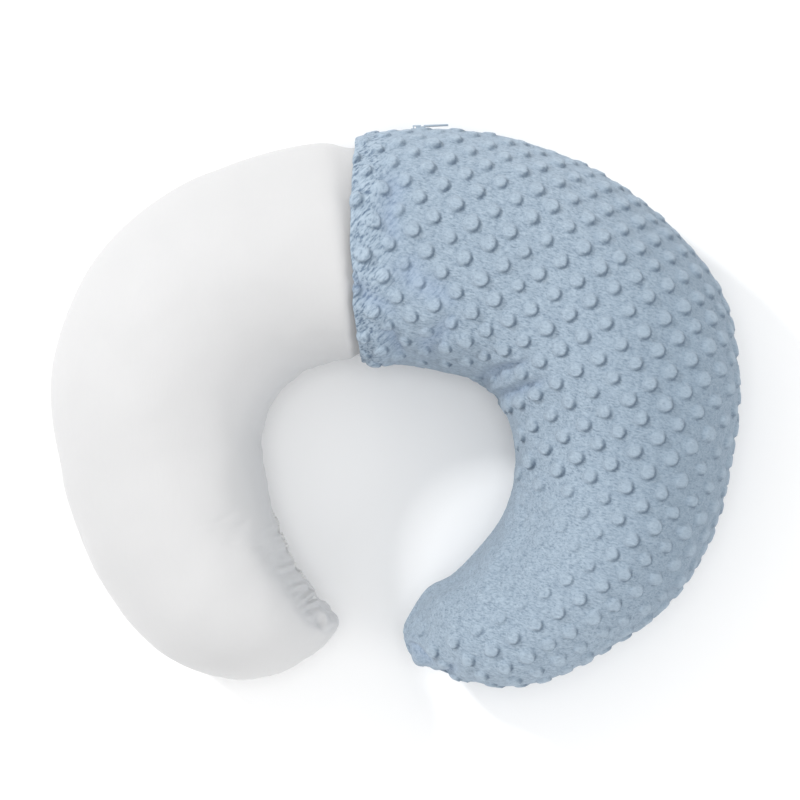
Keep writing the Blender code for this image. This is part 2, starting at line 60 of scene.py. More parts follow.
cameraSet = {
    "centre": (0.0031, 0.0070),   # what lies in the middle of the view
    "width": 0.6384,              # seen across, at the height of the seam
    "distance": 2.6,
    "sensor": 36.0,
}


def makeCamera():
    seam = joints["zip_travel"].z
    data = bpy.data.cameras.new("studioCamera")
    data.sensor_width = cameraSet["sensor"]
    data.lens = cameraSet["sensor"] * cameraSet["distance"] / cameraSet["width"]
    data.clip_start = 0.1
    data.clip_end = 20
    camera = addObject("studioCamera", data)
    camera.location = (*cameraSet["centre"], seam + cameraSet["distance"])
    scene.camera = camera


# The stuffed form, worked out as the frame's own shells are

form = {
    "outerRadius": 0.263,
    "holeRadius": 0.100,
    "crownHeight": 0.084,
    "armHalfWidth": 0.092,
    "neckHalfWidth": 0.070,
    "tipHalfWidth": 0.040,
    "tipSeamShare": 0.25,
    "tipBluntness": 12,
    "crownGrowth": 0.6,
    "crownRoundness": 0.9,
    "bellyDepth": 1.15,
    "bellyGrowth": 0.3,
    "bellyRoundness": 0.8,
    "arcShift": 0.030,
    "arcStandoff": 0.013,
    "arcEnd": 65.0,               # the outer edge is a true arc as far as this station
    "arcLead": 8.0,
    "mouth": -10.0,
    "mouthSkewOuter": 3.5,
    "mouthSkewInner": -6.5,
    "skewFade": 20.0,
    "neckStart": 4.4,
    "neckEnd": 1.0,
    "bareTip": 162.0,
    "coverTip": 177.0,
    "coverRoom": 0.0098,          # from the cover's outside to the pillow in it
    "pillowFloor": 0.0061,
    "floorGap": 0.0002,           # nothing lies lower than this
}
bareOuter = ((0, 1.0), (25, 1.049), (50, 1.105), (70, 1.084), (90, 1.004),
             (110, 0.943), (130, 0.886), (150, 0.753), (162, 0.608))
bareInner = ((0, 0.93), (25, 0.98), (50, 1.065), (70, 1.06), (90, 0.98),
             (110, 0.96), (130, 0.99), (150, 1.02), (162, 1.0))
coverOuter = ((90, 1.040), (110, 0.968), (130, 0.865), (150, 0.790), (165, 0.684), (177, 0.624))
coverInner = ((-30, 0.95), (0, 0.84), (25, 0.865), (50, 0.99), (70, 0.975), (90, 0.94),
              (110, 0.905), (130, 0.866), (150, 0.862), (165, 0.848), (177, 0.96))

seamHeight = joints["zip_travel"].z
hole = Vector((joints["cover_slide"].x - form["arcShift"], joints["cover_slide"].y, 0))
arcRadius = form["outerRadius"] + form["arcStandoff"]


def ease(t):
    t = min(1.0, max(0.0, t))
    return t * t * (3 - 2 * t)


def easeAll(t):
    t = np.clip(t, 0, 1)
    return t * t * (3 - 2 * t)


def smoothThrough(points, x):
    last = len(points) - 1
    i = 0
    while i < last - 1 and x > points[i + 1][0]:
        i += 1

    def slope(j):
        if j in (0, last):
            k = min(j, last - 1)
            return (points[k + 1][1] - points[k][1]) / (points[k + 1][0] - points[k][0])
        before = points[j][0] - points[j - 1][0]
        after = points[j + 1][0] - points[j][0]
        riseBefore = (points[j][1] - points[j - 1][1]) / before
        riseAfter = (points[j + 1][1] - points[j][1]) / after
        return (riseBefore * after + riseAfter * before) / (before + after)

    (x0, y0), (x1, y1) = points[i], points[i + 1]
    wide = x1 - x0
    t = (x - x0) / wide
    return (y0 * (2 * t ** 3 - 3 * t ** 2 + 1) + slope(i) * wide * (t ** 3 - 2 * t ** 2 + t)
            + y1 * (3 * t ** 2 - 2 * t ** 3) + slope(i + 1) * wide * (t ** 3 - t ** 2))


def arcEdge(station):
    turn = math.radians(station)
    across = form["arcShift"] * math.cos(turn)
    return form["arcShift"] * math.sin(turn) + math.sqrt(arcRadius ** 2 - across ** 2)


def outerEdge(side, station):
    if side == "bare":
        return form["outerRadius"] * smoothThrough(bareOuter, abs(station))
    if station <= form["arcEnd"]:
        return arcEdge(station)
    ends = (form["arcEnd"] - form["arcLead"], form["arcEnd"])
    lead = tuple((a, arcEdge(a) / form["outerRadius"]) for a in ends)
    return form["outerRadius"] * smoothThrough(lead + coverOuter, station)


def innerEdge(side, station):
    if side == "bare":
        return form["holeRadius"] * smoothThrough(bareInner, abs(station))
    return form["holeRadius"] * smoothThrough(coverInner, station)


def polar(station, radius):
    turn = math.radians(station)
    return Vector((radius * math.sin(turn), radius * math.cos(turn)))


def taper(side, station):
    tip = form["bareTip"] if side == "bare" else form["coverTip"]
    share = min(1.0, abs(station) / tip)
    return math.sqrt(max(0.0, 1 - share ** form["tipBluntness"]))


def skew(station):
    if station >= 0:
        return 0.0
    if station >= form["mouth"]:
        return station / form["mouth"]
    return 1 - ease((form["mouth"] - station) / form["skewFade"])


def section(side, station):
    turn = skew(station)
    innerAngle = station + form["mouthSkewInner"] * turn
    outerAngle = station + form["mouthSkewOuter"] * turn
    inside = polar(innerAngle, innerEdge(side, innerAngle))
    outside = polar(outerAngle, outerEdge(side, outerAngle))
    return (inside + outside) / 2, (outside - inside) / 2, taper(side, station)


def seamLevel(halfWidth):
    share = min(1.0, max(halfWidth, form["tipHalfWidth"]) / form["neckHalfWidth"])
    rise = math.sin(share * math.pi / 2)
    return seamHeight * (form["tipSeamShare"] + (1 - form["tipSeamShare"]) * rise)


def skin(side, station, turn):
    middle, half, share = section(side, station)
    fullness = half.length / form["armHalfWidth"]
    seam = seamLevel(half.length)
    lift = math.sin(turn)
    if lift >= 0:
        top = form["crownHeight"] * fullness ** form["crownGrowth"] * share
        z = seam + top * lift ** form["crownRoundness"]
    else:
        belly = form["bellyDepth"] * seamHeight * fullness ** form["bellyGrowth"] * share
        z = seam - belly * (-lift) ** form["bellyRoundness"]
    place = middle + half * share * math.cos(turn)
    return Vector((place.x, place.y, z))


def outward(side, station, turn):
    nudge = 0.01
    middle, half, share = section(side, station)
    if share < 1e-6:
        way = middle - section(side, station - math.copysign(1.0, station))[0]
        return Vector((way.x, way.y, 0)).normalized()
    along = skin(side, station + nudge, turn) - skin(side, station - nudge, turn)
    around = skin(side, station, turn + nudge) - skin(side, station, turn - nudge)
    normal = along.cross(around).normalized()
    heart = Vector((middle.x, middle.y, seamLevel(half.length)))
    return normal if normal.dot(skin(side, station, turn) - heart) > 0 else -normal


def sunk(side, station, turn, depth):
    return skin(side, station, turn) - outward(side, station, turn) * depth


def coveredShare(station):
    start = form["mouth"] - form["neckStart"]
    return ease((station - start) / (form["neckStart"] - form["neckEnd"]))


def pillowPoint(station, turn, depth=0.0):
    share = coveredShare(station)
    place = Vector()
    if share < 1:
        place += (1 - share) * sunk("bare", station, turn, depth)
    if share > 0:
        room = form["coverRoom"] + pillowGive(station, turn)
        place += share * sunk("cover", station, turn, room + depth)
    place.z = max(place.z, share * form["pillowFloor"] + depth)
    return place


# How far the visible cloth lies inside the frame's skin, so that its dots stand on it:
# along the outer seam (station, depth), then at the inner seam and between the seams
outerSink = ((60, 0.0018), (70, 0.0098), (80, 0.0090), (92, 0.0058), (124, 0.0060),
             (145, 0.0082), (160, 0.0050), (177, 0.0036))
innerSink = 0.0032
crownSink = 0.0040


def outerDepth(station):
    return outerSink[0][1] if station < outerSink[0][0] else smoothThrough(outerSink, station)


def coverSink(station, turn):
    atSeam = outerDepth(station) if math.cos(turn) > 0 else innerSink
    return atSeam + (crownSink - atSeam) * ease(1.3 * abs(math.sin(turn)))


def pillowGive(station, turn):
    # the pillow draws in with the cloth over it
    return max(0.0, coverSink(station, turn) - 0.0062) * ease(station / 20)


def coverPoint(station, turn, depth=0.0):
    place = sunk("cover", station, turn, depth)
    place.z = max(place.z, depth)
    return place


# Mesh helpers

def addObject(name, data):
    piece = bpy.data.objects.new(name, data)
    scene.collection.objects.link(piece)
    return piece


def duplicate(piece, name):
    copy = addObject(name, piece.data.copy())
    copy.data.name = name
    return copy


def reshape(piece, edit):
    # runs an edit on the bare mesh of a piece
    bm = bmesh.new()
    bm.from_mesh(piece.data)
    edit(bm)
    bm.to_mesh(piece.data)
    bm.free()


def treeOf(points):
    tree = kdtree.KDTree(len(points))
    for i, point in enumerate(points):
        tree.insert(point, i)
    tree.balance()
    return tree


def coordinates(piece):
    flat = np.empty(len(piece.data.vertices) * 3)
    piece.data.vertices.foreach_get("co", flat)
    return flat.reshape(-1, 3)


def setCoordinates(piece, places):
    piece.data.vertices.foreach_set("co", np.asarray(places, float).ravel())
    piece.data.update()


def setAbove(piece, places, floor=form["floorGap"]):
    # moves the points, none of them lower than the floor
    places[:, 2] = np.maximum(places[:, 2], floor)
    setCoordinates(piece, places)


def vertexNormals(piece):
    flat = np.empty(len(piece.data.vertices) * 3)
    piece.data.vertex_normals.foreach_get("vector", flat)
    return flat.reshape(-1, 3)


def tag(piece, name, numbers):
    layer = piece.data.attributes.get(name) or piece.data.attributes.new(name, "FLOAT", "POINT")
    layer.data.foreach_set("value", np.asarray(numbers, np.float32))


def tagged(piece, name):
    numbers = np.zeros(len(piece.data.vertices), np.float32)
    piece.data.attributes[name].data.foreach_get("value", numbers)
    return numbers.astype(float)


def only(piece):
    bpy.ops.object.select_all(action="DESELECT")
    piece.select_set(True)
    bpy.context.view_layer.objects.active = piece


def applyAll(piece):
    only(piece)
    for modifier in list(piece.modifiers):
        bpy.ops.object.modifier_apply(modifier=modifier.name)


def subdivide(piece, levels):
    smooth = piece.modifiers.new("smooth", "SUBSURF")
    smooth.levels = levels
    smooth.render_levels = levels
    applyAll(piece)


def netMesh(name, rows, tags, closed):
    # quads between rows of points; a row that has shrunk to a point is one vertex
    points, index, kept = [], [], {key: [] for key in tags}
    for i, row in enumerate(rows):
        single = max((p - row[0]).length for p in row) < 1e-6
        here = []
        for j, point in enumerate(row):
            if not (single and j):
                points.append(point)
                for key in tags:
                    kept[key].append(tags[key][i][j])
            here.append(len(points) - 1)
        index.append(here)
    faces = []
    across = len(rows[0]) if closed else len(rows[0]) - 1
    for a, b in zip(index, index[1:]):
        for j in range(across):
            k = (j + 1) % len(a)
            corners = list(dict.fromkeys((a[j], b[j], b[k], a[k])))
            if len(corners) > 2:
                faces.append(corners)
    mesh = bpy.data.meshes.new(name)
    mesh.from_pydata([tuple(p) for p in points], [], faces)
    piece = addObject(name, mesh)
    for key in tags:
        tag(piece, key, kept[key])
    mesh.shade_smooth()
    return piece


def addRow(rows, tags, row, **values):
    # a row of points about the hole, with one number or a list of numbers for each tag
    rows.append([hole + point for point in row])
    for key, value in values.items():
        tags.setdefault(key, []).append(value if isinstance(value, list) else [value] * len(row))


def runningLengths(points):
    lengths = [0.0]
    for a, b in zip(points, points[1:]):
        lengths.append(lengths[-1] + (b - a).length)
    return lengths


def noiseAt(places, size, seed=0.0):
    offset = Vector((seed, 3.7 * seed, -1.9 * seed))
    return np.array([noise.noise(Vector(p) / size + offset) for p in places])


def layered(places, layers):
    # noises added up, each with its own size, seed and height
    return sum(noiseAt(places, size, seed) * height for size, seed, height in layers)


def distanceToPath(xy, path):
    # distance in plan from each point to a line through the path, and how far along
    best = np.full(len(xy), 1e9)
    along = np.zeros(len(xy))
    total = len(path) - 1
    for k in range(total):
        a, b = np.array(path[k]), np.array(path[k + 1])
        run = b - a
        t = np.clip(((xy - a) @ run) / (run @ run), 0, 1)
        far = np.linalg.norm(xy - (a + t[:, None] * run), axis=1)
        nearer = far < best
        best = np.where(nearer, far, best)
        along = np.where(nearer, (k + t) / total, along)
    return best, along


clothSet = {
    "quality": 6,
    "bending": 0.3,
    "coverSlack": 0.015,
    "pillowSlack": 0.02,
}


def simulate(piece, pressure, frames, cap, pins=None, slack=0.0):
    # lets the cloth swell; no point moves further than its cap
    start = coordinates(piece)
    cloth = piece.modifiers.new("stuffing", "CLOTH")
    settings = cloth.settings
    settings.quality = clothSet["quality"]
    settings.use_pressure = True
    settings.uniform_pressure_force = pressure
    settings.effector_weights.gravity = 0
    settings.shrink_min = -slack
    settings.bending_stiffness = clothSet["bending"]
    if pins is not None:
        group = piece.vertex_groups.new(name="held")
        for i in np.nonzero(pins)[0]:
            group.add([int(i)], 1.0, "REPLACE")
        settings.vertex_group_mass = "held"
    cloth.point_cache.frame_start = 1
    cloth.point_cache.frame_end = frames
    for step in range(1, frames + 1):
        scene.frame_set(step)
    applyAll(piece)
    scene.frame_set(1)
    piece.vertex_groups.clear()
    moved = coordinates(piece) - start
    length = np.maximum(np.linalg.norm(moved, axis=1), 1e-9)
    share = np.minimum(1.0, np.asarray(cap) / length)
    setCoordinates(piece, start + moved * share[:, None])
    print("simulated", piece.name, "mean move", round(float((length * share).mean()) * 1000, 2), "mm")


# Node helpers for the finishes

def newFinish(name, colour, roughness, sheen=0.0, sheenTint=(1, 1, 1), sheenRoughness=0.5):
    finish = bpy.data.materials.new(name)
    finish.use_nodes = True
    nodes = finish.node_tree.nodes
    shader = nodes["Principled BSDF"]
    shader.inputs["Base Color"].default_value = (*colour, 1)
    shader.inputs["Roughness"].default_value = roughness
    shader.inputs["Sheen Weight"].default_value = sheen
    shader.inputs["Sheen Roughness"].default_value = sheenRoughness
    shader.inputs["Sheen Tint"].default_value = (*sheenTint, 1)
    return finish, nodes, finish.node_tree.links, shader


def objectSpace(nodes, links, stretch=(1, 1, 1), heading=0.0):
    # object coordinates, stretched along an axis turned this many degrees from X
    source = nodes.new("ShaderNodeTexCoord")
    mapping = nodes.new("ShaderNodeMapping")
    mapping.vector_type = "TEXTURE"
    mapping.inputs["Scale"].default_value = stretch
    mapping.inputs["Rotation"].default_value = (0, 0, math.radians(heading))
    links.new(source.outputs["Object"], mapping.inputs["Vector"])
    return mapping.outputs["Vector"]


def noiseNode(nodes, links, vector, size, detail=2.0, rough=0.5):
    texture = nodes.new("ShaderNodeTexNoise")
    texture.inputs["Scale"].default_value = 1 / size
    texture.inputs["Detail"].default_value = detail
    texture.inputs["Roughness"].default_value = rough
    links.new(vector, texture.inputs["Vector"])
    return texture.outputs["Fac"]


def rampNode(nodes, links, value, stops):
    ramp = nodes.new("ShaderNodeValToRGB")
    while len(ramp.color_ramp.elements) < len(stops):
        ramp.color_ramp.elements.new(0.5)
    for element, (place, colour) in zip(ramp.color_ramp.elements, stops):
        element.position = place
        element.color = (*colour, 1)
    links.new(value, ramp.inputs["Fac"])
    return ramp.outputs["Color"]


def mathNode(nodes, links, operation, first, second):
    node = nodes.new("ShaderNodeMath")
    node.operation = operation
    for socket, value in zip(node.inputs, (first, second)):
        if isinstance(value, (int, float)):
            socket.default_value = value
        else:
            links.new(value, socket)
    return node.outputs["Value"]


def mixNode(nodes, links, factor, first, second):
    node = nodes.new("ShaderNodeMix")
    node.data_type = "RGBA"
    for name, value in (("Factor", factor), ("A", first), ("B", second)):
        socket = [s for s in node.inputs if s.name == name and s.enabled][0]
        if isinstance(value, (int, float)):
            socket.default_value = value
        elif isinstance(value, tuple):
            socket.default_value = (*value, 1)
        else:
            links.new(value, socket)
    return [s for s in node.outputs if s.enabled][0]


def tagNode(nodes, name):
    node = nodes.new("ShaderNodeAttribute")
    node.attribute_name = name
    return node.outputs["Fac"]


def bumpNode(nodes, links, height, distance, after=None):
    node = nodes.new("ShaderNodeBump")
    node.inputs["Distance"].default_value = distance
    links.new(height, node.inputs["Height"])
    if after is not None:
        links.new(after, node.inputs["Normal"])
    return node.outputs["Normal"]


tickingLook = {
    "base": (0.60, 0.60, 0.605),
    "dim": (0.590, 0.590, 0.594),
    "bright": (0.615, 0.615, 0.618),
    "slub": (0.565, 0.565, 0.57),      # thicker threads
    "slubSize": 0.0022,
    "slubHeight": 0.00008,
    "threads": 420.0,
    "threadWaver": 0.6,
    "threadHeight": 0.00005,
}


def makeTicking():
    # tightly woven white cotton with a faint sheen
    look = tickingLook
    finish, nodes, links, shader = newFinish("whiteTicking", look["base"], 0.62, sheen=0.2)
    space = objectSpace(nodes, links)
    woven = []
    for direction in ("X", "Y"):
        threads = nodes.new("ShaderNodeTexWave")
        threads.inputs["Scale"].default_value = look["threads"]
        threads.inputs["Distortion"].default_value = look["threadWaver"]
        threads.bands_direction = direction
        links.new(space, threads.inputs["Vector"])
        woven.append(threads.outputs["Fac"])
    weave = mathNode(nodes, links, "MULTIPLY", *woven)
    slub = noiseNode(nodes, links, objectSpace(nodes, links, (1, 4, 1)), look["slubSize"], 3, 0.6)
    soft = noiseNode(nodes, links, space, 0.035, 2, 0.5)
    tone = mixNode(nodes, links, soft, look["dim"], look["bright"])
    tone = mixNode(nodes, links, mathNode(nodes, links, "MULTIPLY", slub, 0.25), tone, look["slub"])
    links.new(tone, shader.inputs["Base Color"])
    links.new(mathNode(nodes, links, "ADD", mathNode(nodes, links, "MULTIPLY", slub, 0.18), 0.5),
              shader.inputs["Roughness"])
    first = bumpNode(nodes, links, slub, look["slubHeight"])
    links.new(bumpNode(nodes, links, weave, look["threadHeight"], after=first), shader.inputs["Normal"])
    return finish


plushLook = {
    "deepShade": (0.100, 0.150, 0.225),     # painted shade: parted pile beside the mouth and in crease valleys, darkened
    "low": (0.180, 0.240, 0.315),      # between the tufts
    "mid": (0.330, 0.412, 0.500),
    "high": (0.460, 0.555, 0.645),     # brushed tips; also the painted highlight on dot tops
    "hollow": (0.275, 0.355, 0.500),   # painted shade, darker and bluer where the cloth dips
    "dotShadow": (0.060, 0.100, 0.155),     # painted shadow under the steep side of each dot
    "away": (0.200, 0.265, 0.335),     # painted shade, darker on the outer right side
    "awayFrom": 0.13,                  # metres right of the middle where that painted shade begins
    "awayTo": 0.23,
    "awayShare": 0.42,
    "patchShare": 0.3,
    "partedShadeShare": 0.85,
    "hollowShadeShare": 0.36,
    "dotTopHighlightShare": 0.30,
    "dotShadowShare": 0.75,
    "tuft": 0.0013,
    "tuftStroke": ((2.6, 1, 1), -17),  # stretch, and heading in degrees from X
    "ruffle": 0.0022,
    "ruffleStroke": ((3.6, 1, 1), 50),
    "clump": 0.0040,
    "patch": 0.045,
    "pile": 0.0020,
}


def makePlush(name, dots=True):
    # short brushed pile, streaked the way it was stroked; its colour also holds painted shade and painted
    # highlights
    look = plushLook
    finish, nodes, links, shader = newFinish(name, look["mid"], 0.95, sheen=0.30,
                                             sheenTint=(0.80, 0.88, 0.97), sheenRoughness=0.45)
    shader.inputs["Specular IOR Level"].default_value = 0.15
    plain = objectSpace(nodes, links)
    tufts = noiseNode(nodes, links, objectSpace(nodes, links, *look["tuftStroke"]), look["tuft"], 4, 0.65)
    ruffles = noiseNode(nodes, links, objectSpace(nodes, links, *look["ruffleStroke"]),
                        look["ruffle"], 4, 0.62)
    clumps = noiseNode(nodes, links, plain, look["clump"], 4, 0.6)
    patches = noiseNode(nodes, links, plain, look["patch"], 3, 0.5)
    if dots:
        pile = nodes.new("ShaderNodeMix")
        links.new(tagNode(nodes, "ruffled"), pile.inputs[0])
        links.new(tufts, pile.inputs[2])
        links.new(ruffles, pile.inputs[3])
        tufts = pile.outputs[0]
    height = mathNode(nodes, links, "ADD", mathNode(nodes, links, "MULTIPLY", tufts, 0.75),
                      mathNode(nodes, links, "MULTIPLY", clumps, 0.35))
    tone = rampNode(nodes, links, height,
                    ((0.38, look["low"]), (0.54, look["mid"]), (0.72, look["high"])))

    def tint(tone, where, share, colour):
        return mixNode(nodes, links, mathNode(nodes, links, "MULTIPLY", where, share), tone, colour)

    tone = tint(tone, patches, look["patchShare"], look["mid"])
    # painted shade: the colour darkens towards the outer right side, away from the key light
    axes = nodes.new("ShaderNodeSeparateXYZ")
    links.new(plain, axes.inputs["Vector"])
    outside = nodes.new("ShaderNodeMapRange")
    outside.interpolation_type = "SMOOTHSTEP"
    outside.inputs["From Min"].default_value = look["awayFrom"]
    outside.inputs["From Max"].default_value = look["awayTo"]
    outside.inputs["To Max"].default_value = look["awayShare"]
    links.new(axes.outputs["X"], outside.inputs["Value"])
    tone = mixNode(nodes, links, outside.outputs["Result"], tone, look["away"])
    if dots:
        # the parted pile's streaks, darkened as painted shade beside the mouth and in crease valleys
        partedShade = rampNode(nodes, links, ruffles, ((0.35, (1, 1, 1)), (0.50, (0, 0, 0))))
        partedShade = mathNode(nodes, links, "MULTIPLY", partedShade, tagNode(nodes, "ruffled"))
        tone = tint(tone, partedShade, look["partedShadeShare"], look["deepShade"])
        # painted shade in the fold valleys
        tone = tint(tone, tagNode(nodes, "hollow"), look["hollowShadeShare"], look["hollow"])
        # painted highlight on the dot tops
        tone = tint(tone, tagNode(nodes, "dotTopHighlight"), look["dotTopHighlightShare"], look["high"])
        # painted shadow on each dot's steep lower right side
        tone = tint(tone, tagNode(nodes, "dotFlankShadow"), look["dotShadowShare"], look["dotShadow"])
    links.new(tone, shader.inputs["Base Color"])
    links.new(bumpNode(nodes, links, height, look["pile"]), shader.inputs["Normal"])
    return finish


mottledLooks = {
    # base, dim, bright, roughness, sheen, stretch, noise (size, detail, roughness), height
    "waddingFibre": ((0.86, 0.86, 0.84), (0.70, 0.70, 0.68), (0.93, 0.93, 0.92), 0.95, 0.4,
                     (1, 5, 1.7), (0.002, 5, 0.7), 0.001),
    "spunThread": ((0.78, 0.78, 0.77), (0.66, 0.66, 0.65), (0.84, 0.84, 0.83), 0.6, 0.2,
                   (1, 1, 1), (0.0004, 2, 0.5), 0.0001),
    "coilNylon": ((0.32, 0.41, 0.50), (0.28, 0.37, 0.46), (0.36, 0.45, 0.54), 0.35, 0.0,
                  (1, 1, 1), (0.004, 2, 0.5), 0.0),
}


def makeMottled(name):
    # two shades of one colour, with the same noise in the height
    base, dim, bright, roughness, sheen, stretch, grain, height = mottledLooks[name]
    finish, nodes, links, shader = newFinish(name, base, roughness, sheen=sheen)
    cloud = noiseNode(nodes, links, objectSpace(nodes, links, stretch), *grain)
    links.new(mixNode(nodes, links, cloud, dim, bright), shader.inputs["Base Color"])
    if height:
        links.new(bumpNode(nodes, links, cloud, height), shader.inputs["Normal"])
    return finish


tapeLook = {
    "base": (0.34, 0.43, 0.51),
    "dim": (0.27, 0.35, 0.43),
    "bright": (0.38, 0.47, 0.55),
    "ribs": 260.0,
    "ribWaver": 1.5,
    "ribHeight": 0.00015,
}


def makeTapeCloth():
    # herringbone woven tape
    finish, nodes, links, shader = newFinish("zipTapeCloth", tapeLook["base"], 0.8, sheen=0.15)
    twill = nodes.new("ShaderNodeTexWave")
    twill.inputs["Scale"].default_value = tapeLook["ribs"]
    twill.inputs["Distortion"].default_value = tapeLook["ribWaver"]
    twill.bands_direction = "DIAGONAL"
    links.new(objectSpace(nodes, links), twill.inputs["Vector"])
    links.new(mixNode(nodes, links, twill.outputs["Fac"], tapeLook["dim"], tapeLook["bright"]),
              shader.inputs["Base Color"])
    links.new(bumpNode(nodes, links, twill.outputs["Fac"], tapeLook["ribHeight"]),
              shader.inputs["Normal"])
    return finish


metalLook = {
    "base": (0.36, 0.44, 0.52),
    "dim": (0.31, 0.39, 0.47),
    "bright": (0.39, 0.47, 0.55),
    "grain": 0.0003,
    "rub": 0.003,
    "grainHeight": 0.00003,
}


def makeMetal():
    # zinc enamelled to match the cloth, a little duller where it is handled
    look = metalLook
    finish, nodes, links, shader = newFinish("enamelledZinc", look["base"], 0.32)
    grain = noiseNode(nodes, links, objectSpace(nodes, links, (1, 1, 6)), look["grain"], 3, 0.6)
    rub = noiseNode(nodes, links, objectSpace(nodes, links), look["rub"], 2, 0.5)
    links.new(mathNode(nodes, links, "ADD", mathNode(nodes, links, "MULTIPLY", rub, 0.25), 0.2),
              shader.inputs["Roughness"])
    links.new(mixNode(nodes, links, rub, look["dim"], look["bright"]), shader.inputs["Base Color"])
    links.new(bumpNode(nodes, links, grain, look["grainHeight"]), shader.inputs["Normal"])
    return finish


# White pillow: one stuffed skin, simulated whole and then parted at the seam

pillowSet = {
    "step": 1.6,                  # degrees between stations, half as much near the bare tip
    "fineEnd": -100.0,
    "around": 46,                 # rows over each half
    "cloth": 0.0008,
    "pressure": 3.0,
    "frames": 18,
    "swell": 0.0045,
    "startDepth": 0.0030,         # it starts this much smaller, because it swells
    "swellStart": 3.0,            # degrees from the mouth where the swelling begins
    "swellFade": 32.0,            # and in which it grows
    "leastSwell": 0.0004,
    "seamSwell": 0.25,            # share of the swelling left at the seam
    "swellReach": 0.02,
    "tipFade": 4.0,               # degrees in which the swelling dies out at a tip
    "tipTurn": 5.5,
    "crowding": 0.09,             # how much closer the rows are at the seams
    "seamPull": 0.0016,
    "seamReach": 0.0045,
    "lumps": ((0.055, 2.0, 0.0016), (0.022, 5.0, 0.0004)),
    "lumpReach": 0.03,
    "innerRun": 0.11,             # radii that turn stations into lengths of seam
    "outerRun": 0.25,
    "waddingDepth": 0.0024,
    "waddingLumps": ((0.012, 4.0, 0.0005),),
    "waddingFloor": 0.0025,
}


def tipRun(tip):
    # stations closing in on a tip, for a blunt round end
    run = [tip]
    for k in range(1, 15):
        share = math.sin(math.radians(pillowSet["tipTurn"] * k))
        station = tip * (1 - share * share) ** (1 / form["tipBluntness"])
        if run[-1] - station > pillowSet["step"]:
            break
        run.append(station)
    return run[::-1]


def evenly(start, stop, step):
    count = round((stop - start) / step)
    return [start + (stop - start) * i / count for i in range(count + 1)]


def halfTurns(count):
    # closer together at the seams
    turns = []
    for i in range(count + 1):
        t = i / count
        turns.append(math.pi * (t - pillowSet["crowding"] * math.sin(2 * math.pi * t)))
    return turns


def bareShare(station):
    return ease((form["mouth"] - pillowSet["swellStart"] - station) / pillowSet["swellFade"])


def pillowRows():
    step = pillowSet["step"]
    left = [-s for s in tipRun(form["bareTip"])[::-1]]
    right = tipRun(form["coverTip"])
    fine = evenly(left[-1], pillowSet["fineEnd"], step / 2)
    plain = evenly(pillowSet["fineEnd"], right[0], step)
    stations = left + fine[1:] + plain[1:-1] + right
    over = halfTurns(pillowSet["around"])
    turns = over + [-t for t in over[-2:0:-1]]
    half = pillowSet["around"]
    rows, tags = [], {}
    for station in stations:
        depth = pillowSet["startDepth"] * bareShare(station)
        row = [pillowPoint(station, turn, depth) for turn in turns]
        side = "bare" if station < 0 else "cover"
        level = seamLevel(section(side, station)[1].length)
        for point, turn in zip(row, turns):
            if abs(math.sin(turn)) < 1e-6:
                point.z = level
        lengths = runningLengths(row + row[:1])
        reach = [min(run, abs(lengths[half] - run), lengths[-1] - run) for run in lengths[:-1]]
        addRow(rows, tags, row, station=station, reach=reach,
               up=[math.sin(turn) for turn in turns], edge=[math.cos(turn) for turn in turns])
    return rows, tags


puckers = (
    # from station, to station, edge (-1 inner, 1 outer), height, spacing, reach
    (-162, -108, -1, 0.0021, 0.0085, 0.017),
    (-162, -138, 1, 0.0009, 0.011, 0.013),
    (-108, -30, -1, 0.0007, 0.013, 0.010),
    (-150, -20, 1, 0.0004, 0.017, 0.008),
)

# Short wrinkles beside the bare tip: (points in plan from the hole's middle, half width, height)
wrinkles = (
    (((-0.0900, -0.0757), (-0.0775, -0.0728)), 0.0018, 0.0015),
    (((-0.0800, -0.0905), (-0.0700, -0.0884)), 0.0018, 0.0020),
    (((-0.0722, -0.1015), (-0.0649, -0.0960), (-0.0610, -0.0940)), 0.0019, 0.0024),
    (((-0.0700, -0.1056), (-0.0586, -0.1014)), 0.0019, 0.0020),
    (((-0.0615, -0.1080), (-0.0558, -0.1132), (-0.0525, -0.1195)), 0.0024, 0.0028),
    (((-0.0648, -0.1105), (-0.0600, -0.1150)), 0.0022, 0.0016),
)


def puckerSkin(piece):
    # seam crease all round, and gathers where the sewn edge is shorter than the cloth
    places = coordinates(piece)
    normals = vertexNormals(piece)
    station, edge, reach = (tagged(piece, key) for key in ("station", "edge", "reach"))
    shift = -pillowSet["seamPull"] * np.exp(-(reach / pillowSet["seamReach"]) ** 2)
    for start, stop, side, height, spacing, fade in puckers:
        window = easeAll((station - start) / 6) * easeAll((stop - station) / 6)
        window *= easeAll(edge * side * 2.5)
        live = np.nonzero(window > 0.001)[0]
        radius = pillowSet["innerRun"] if side < 0 else pillowSet["outerRun"]
        run = np.radians(station[live]) * radius
        gathers = np.array([noise.noise(Vector((s / spacing, d / (3.5 * fade), side * 7.3)))
                            for s, d in zip(run, reach[live])])
        sharp = 1 - np.abs(gathers) * 2.4
        shift[live] += window[live] * height * sharp * np.exp(-reach[live] / fade)
    bare = np.array([1 - coveredShare(s) for s in station])
    shift += layered(places, pillowSet["lumps"]) * easeAll(reach / pillowSet["lumpReach"]) * bare
    xy = places[:, :2] - np.array(hole[:2])
    onTop = tagged(piece, "up") > 0
    for path, wide, height in wrinkles:
        far, along = distanceToPath(xy, path)
        fade = np.sin(math.pi * (0.12 + 0.76 * along)) * onTop
        ridge = np.exp(-(far / wide) ** 2) - 0.6 * np.exp(-((far - 2 * wide) / wide) ** 2)
        shift += height * fade * ridge
    places += normals * shift[:, None]
    setAbove(piece, places)


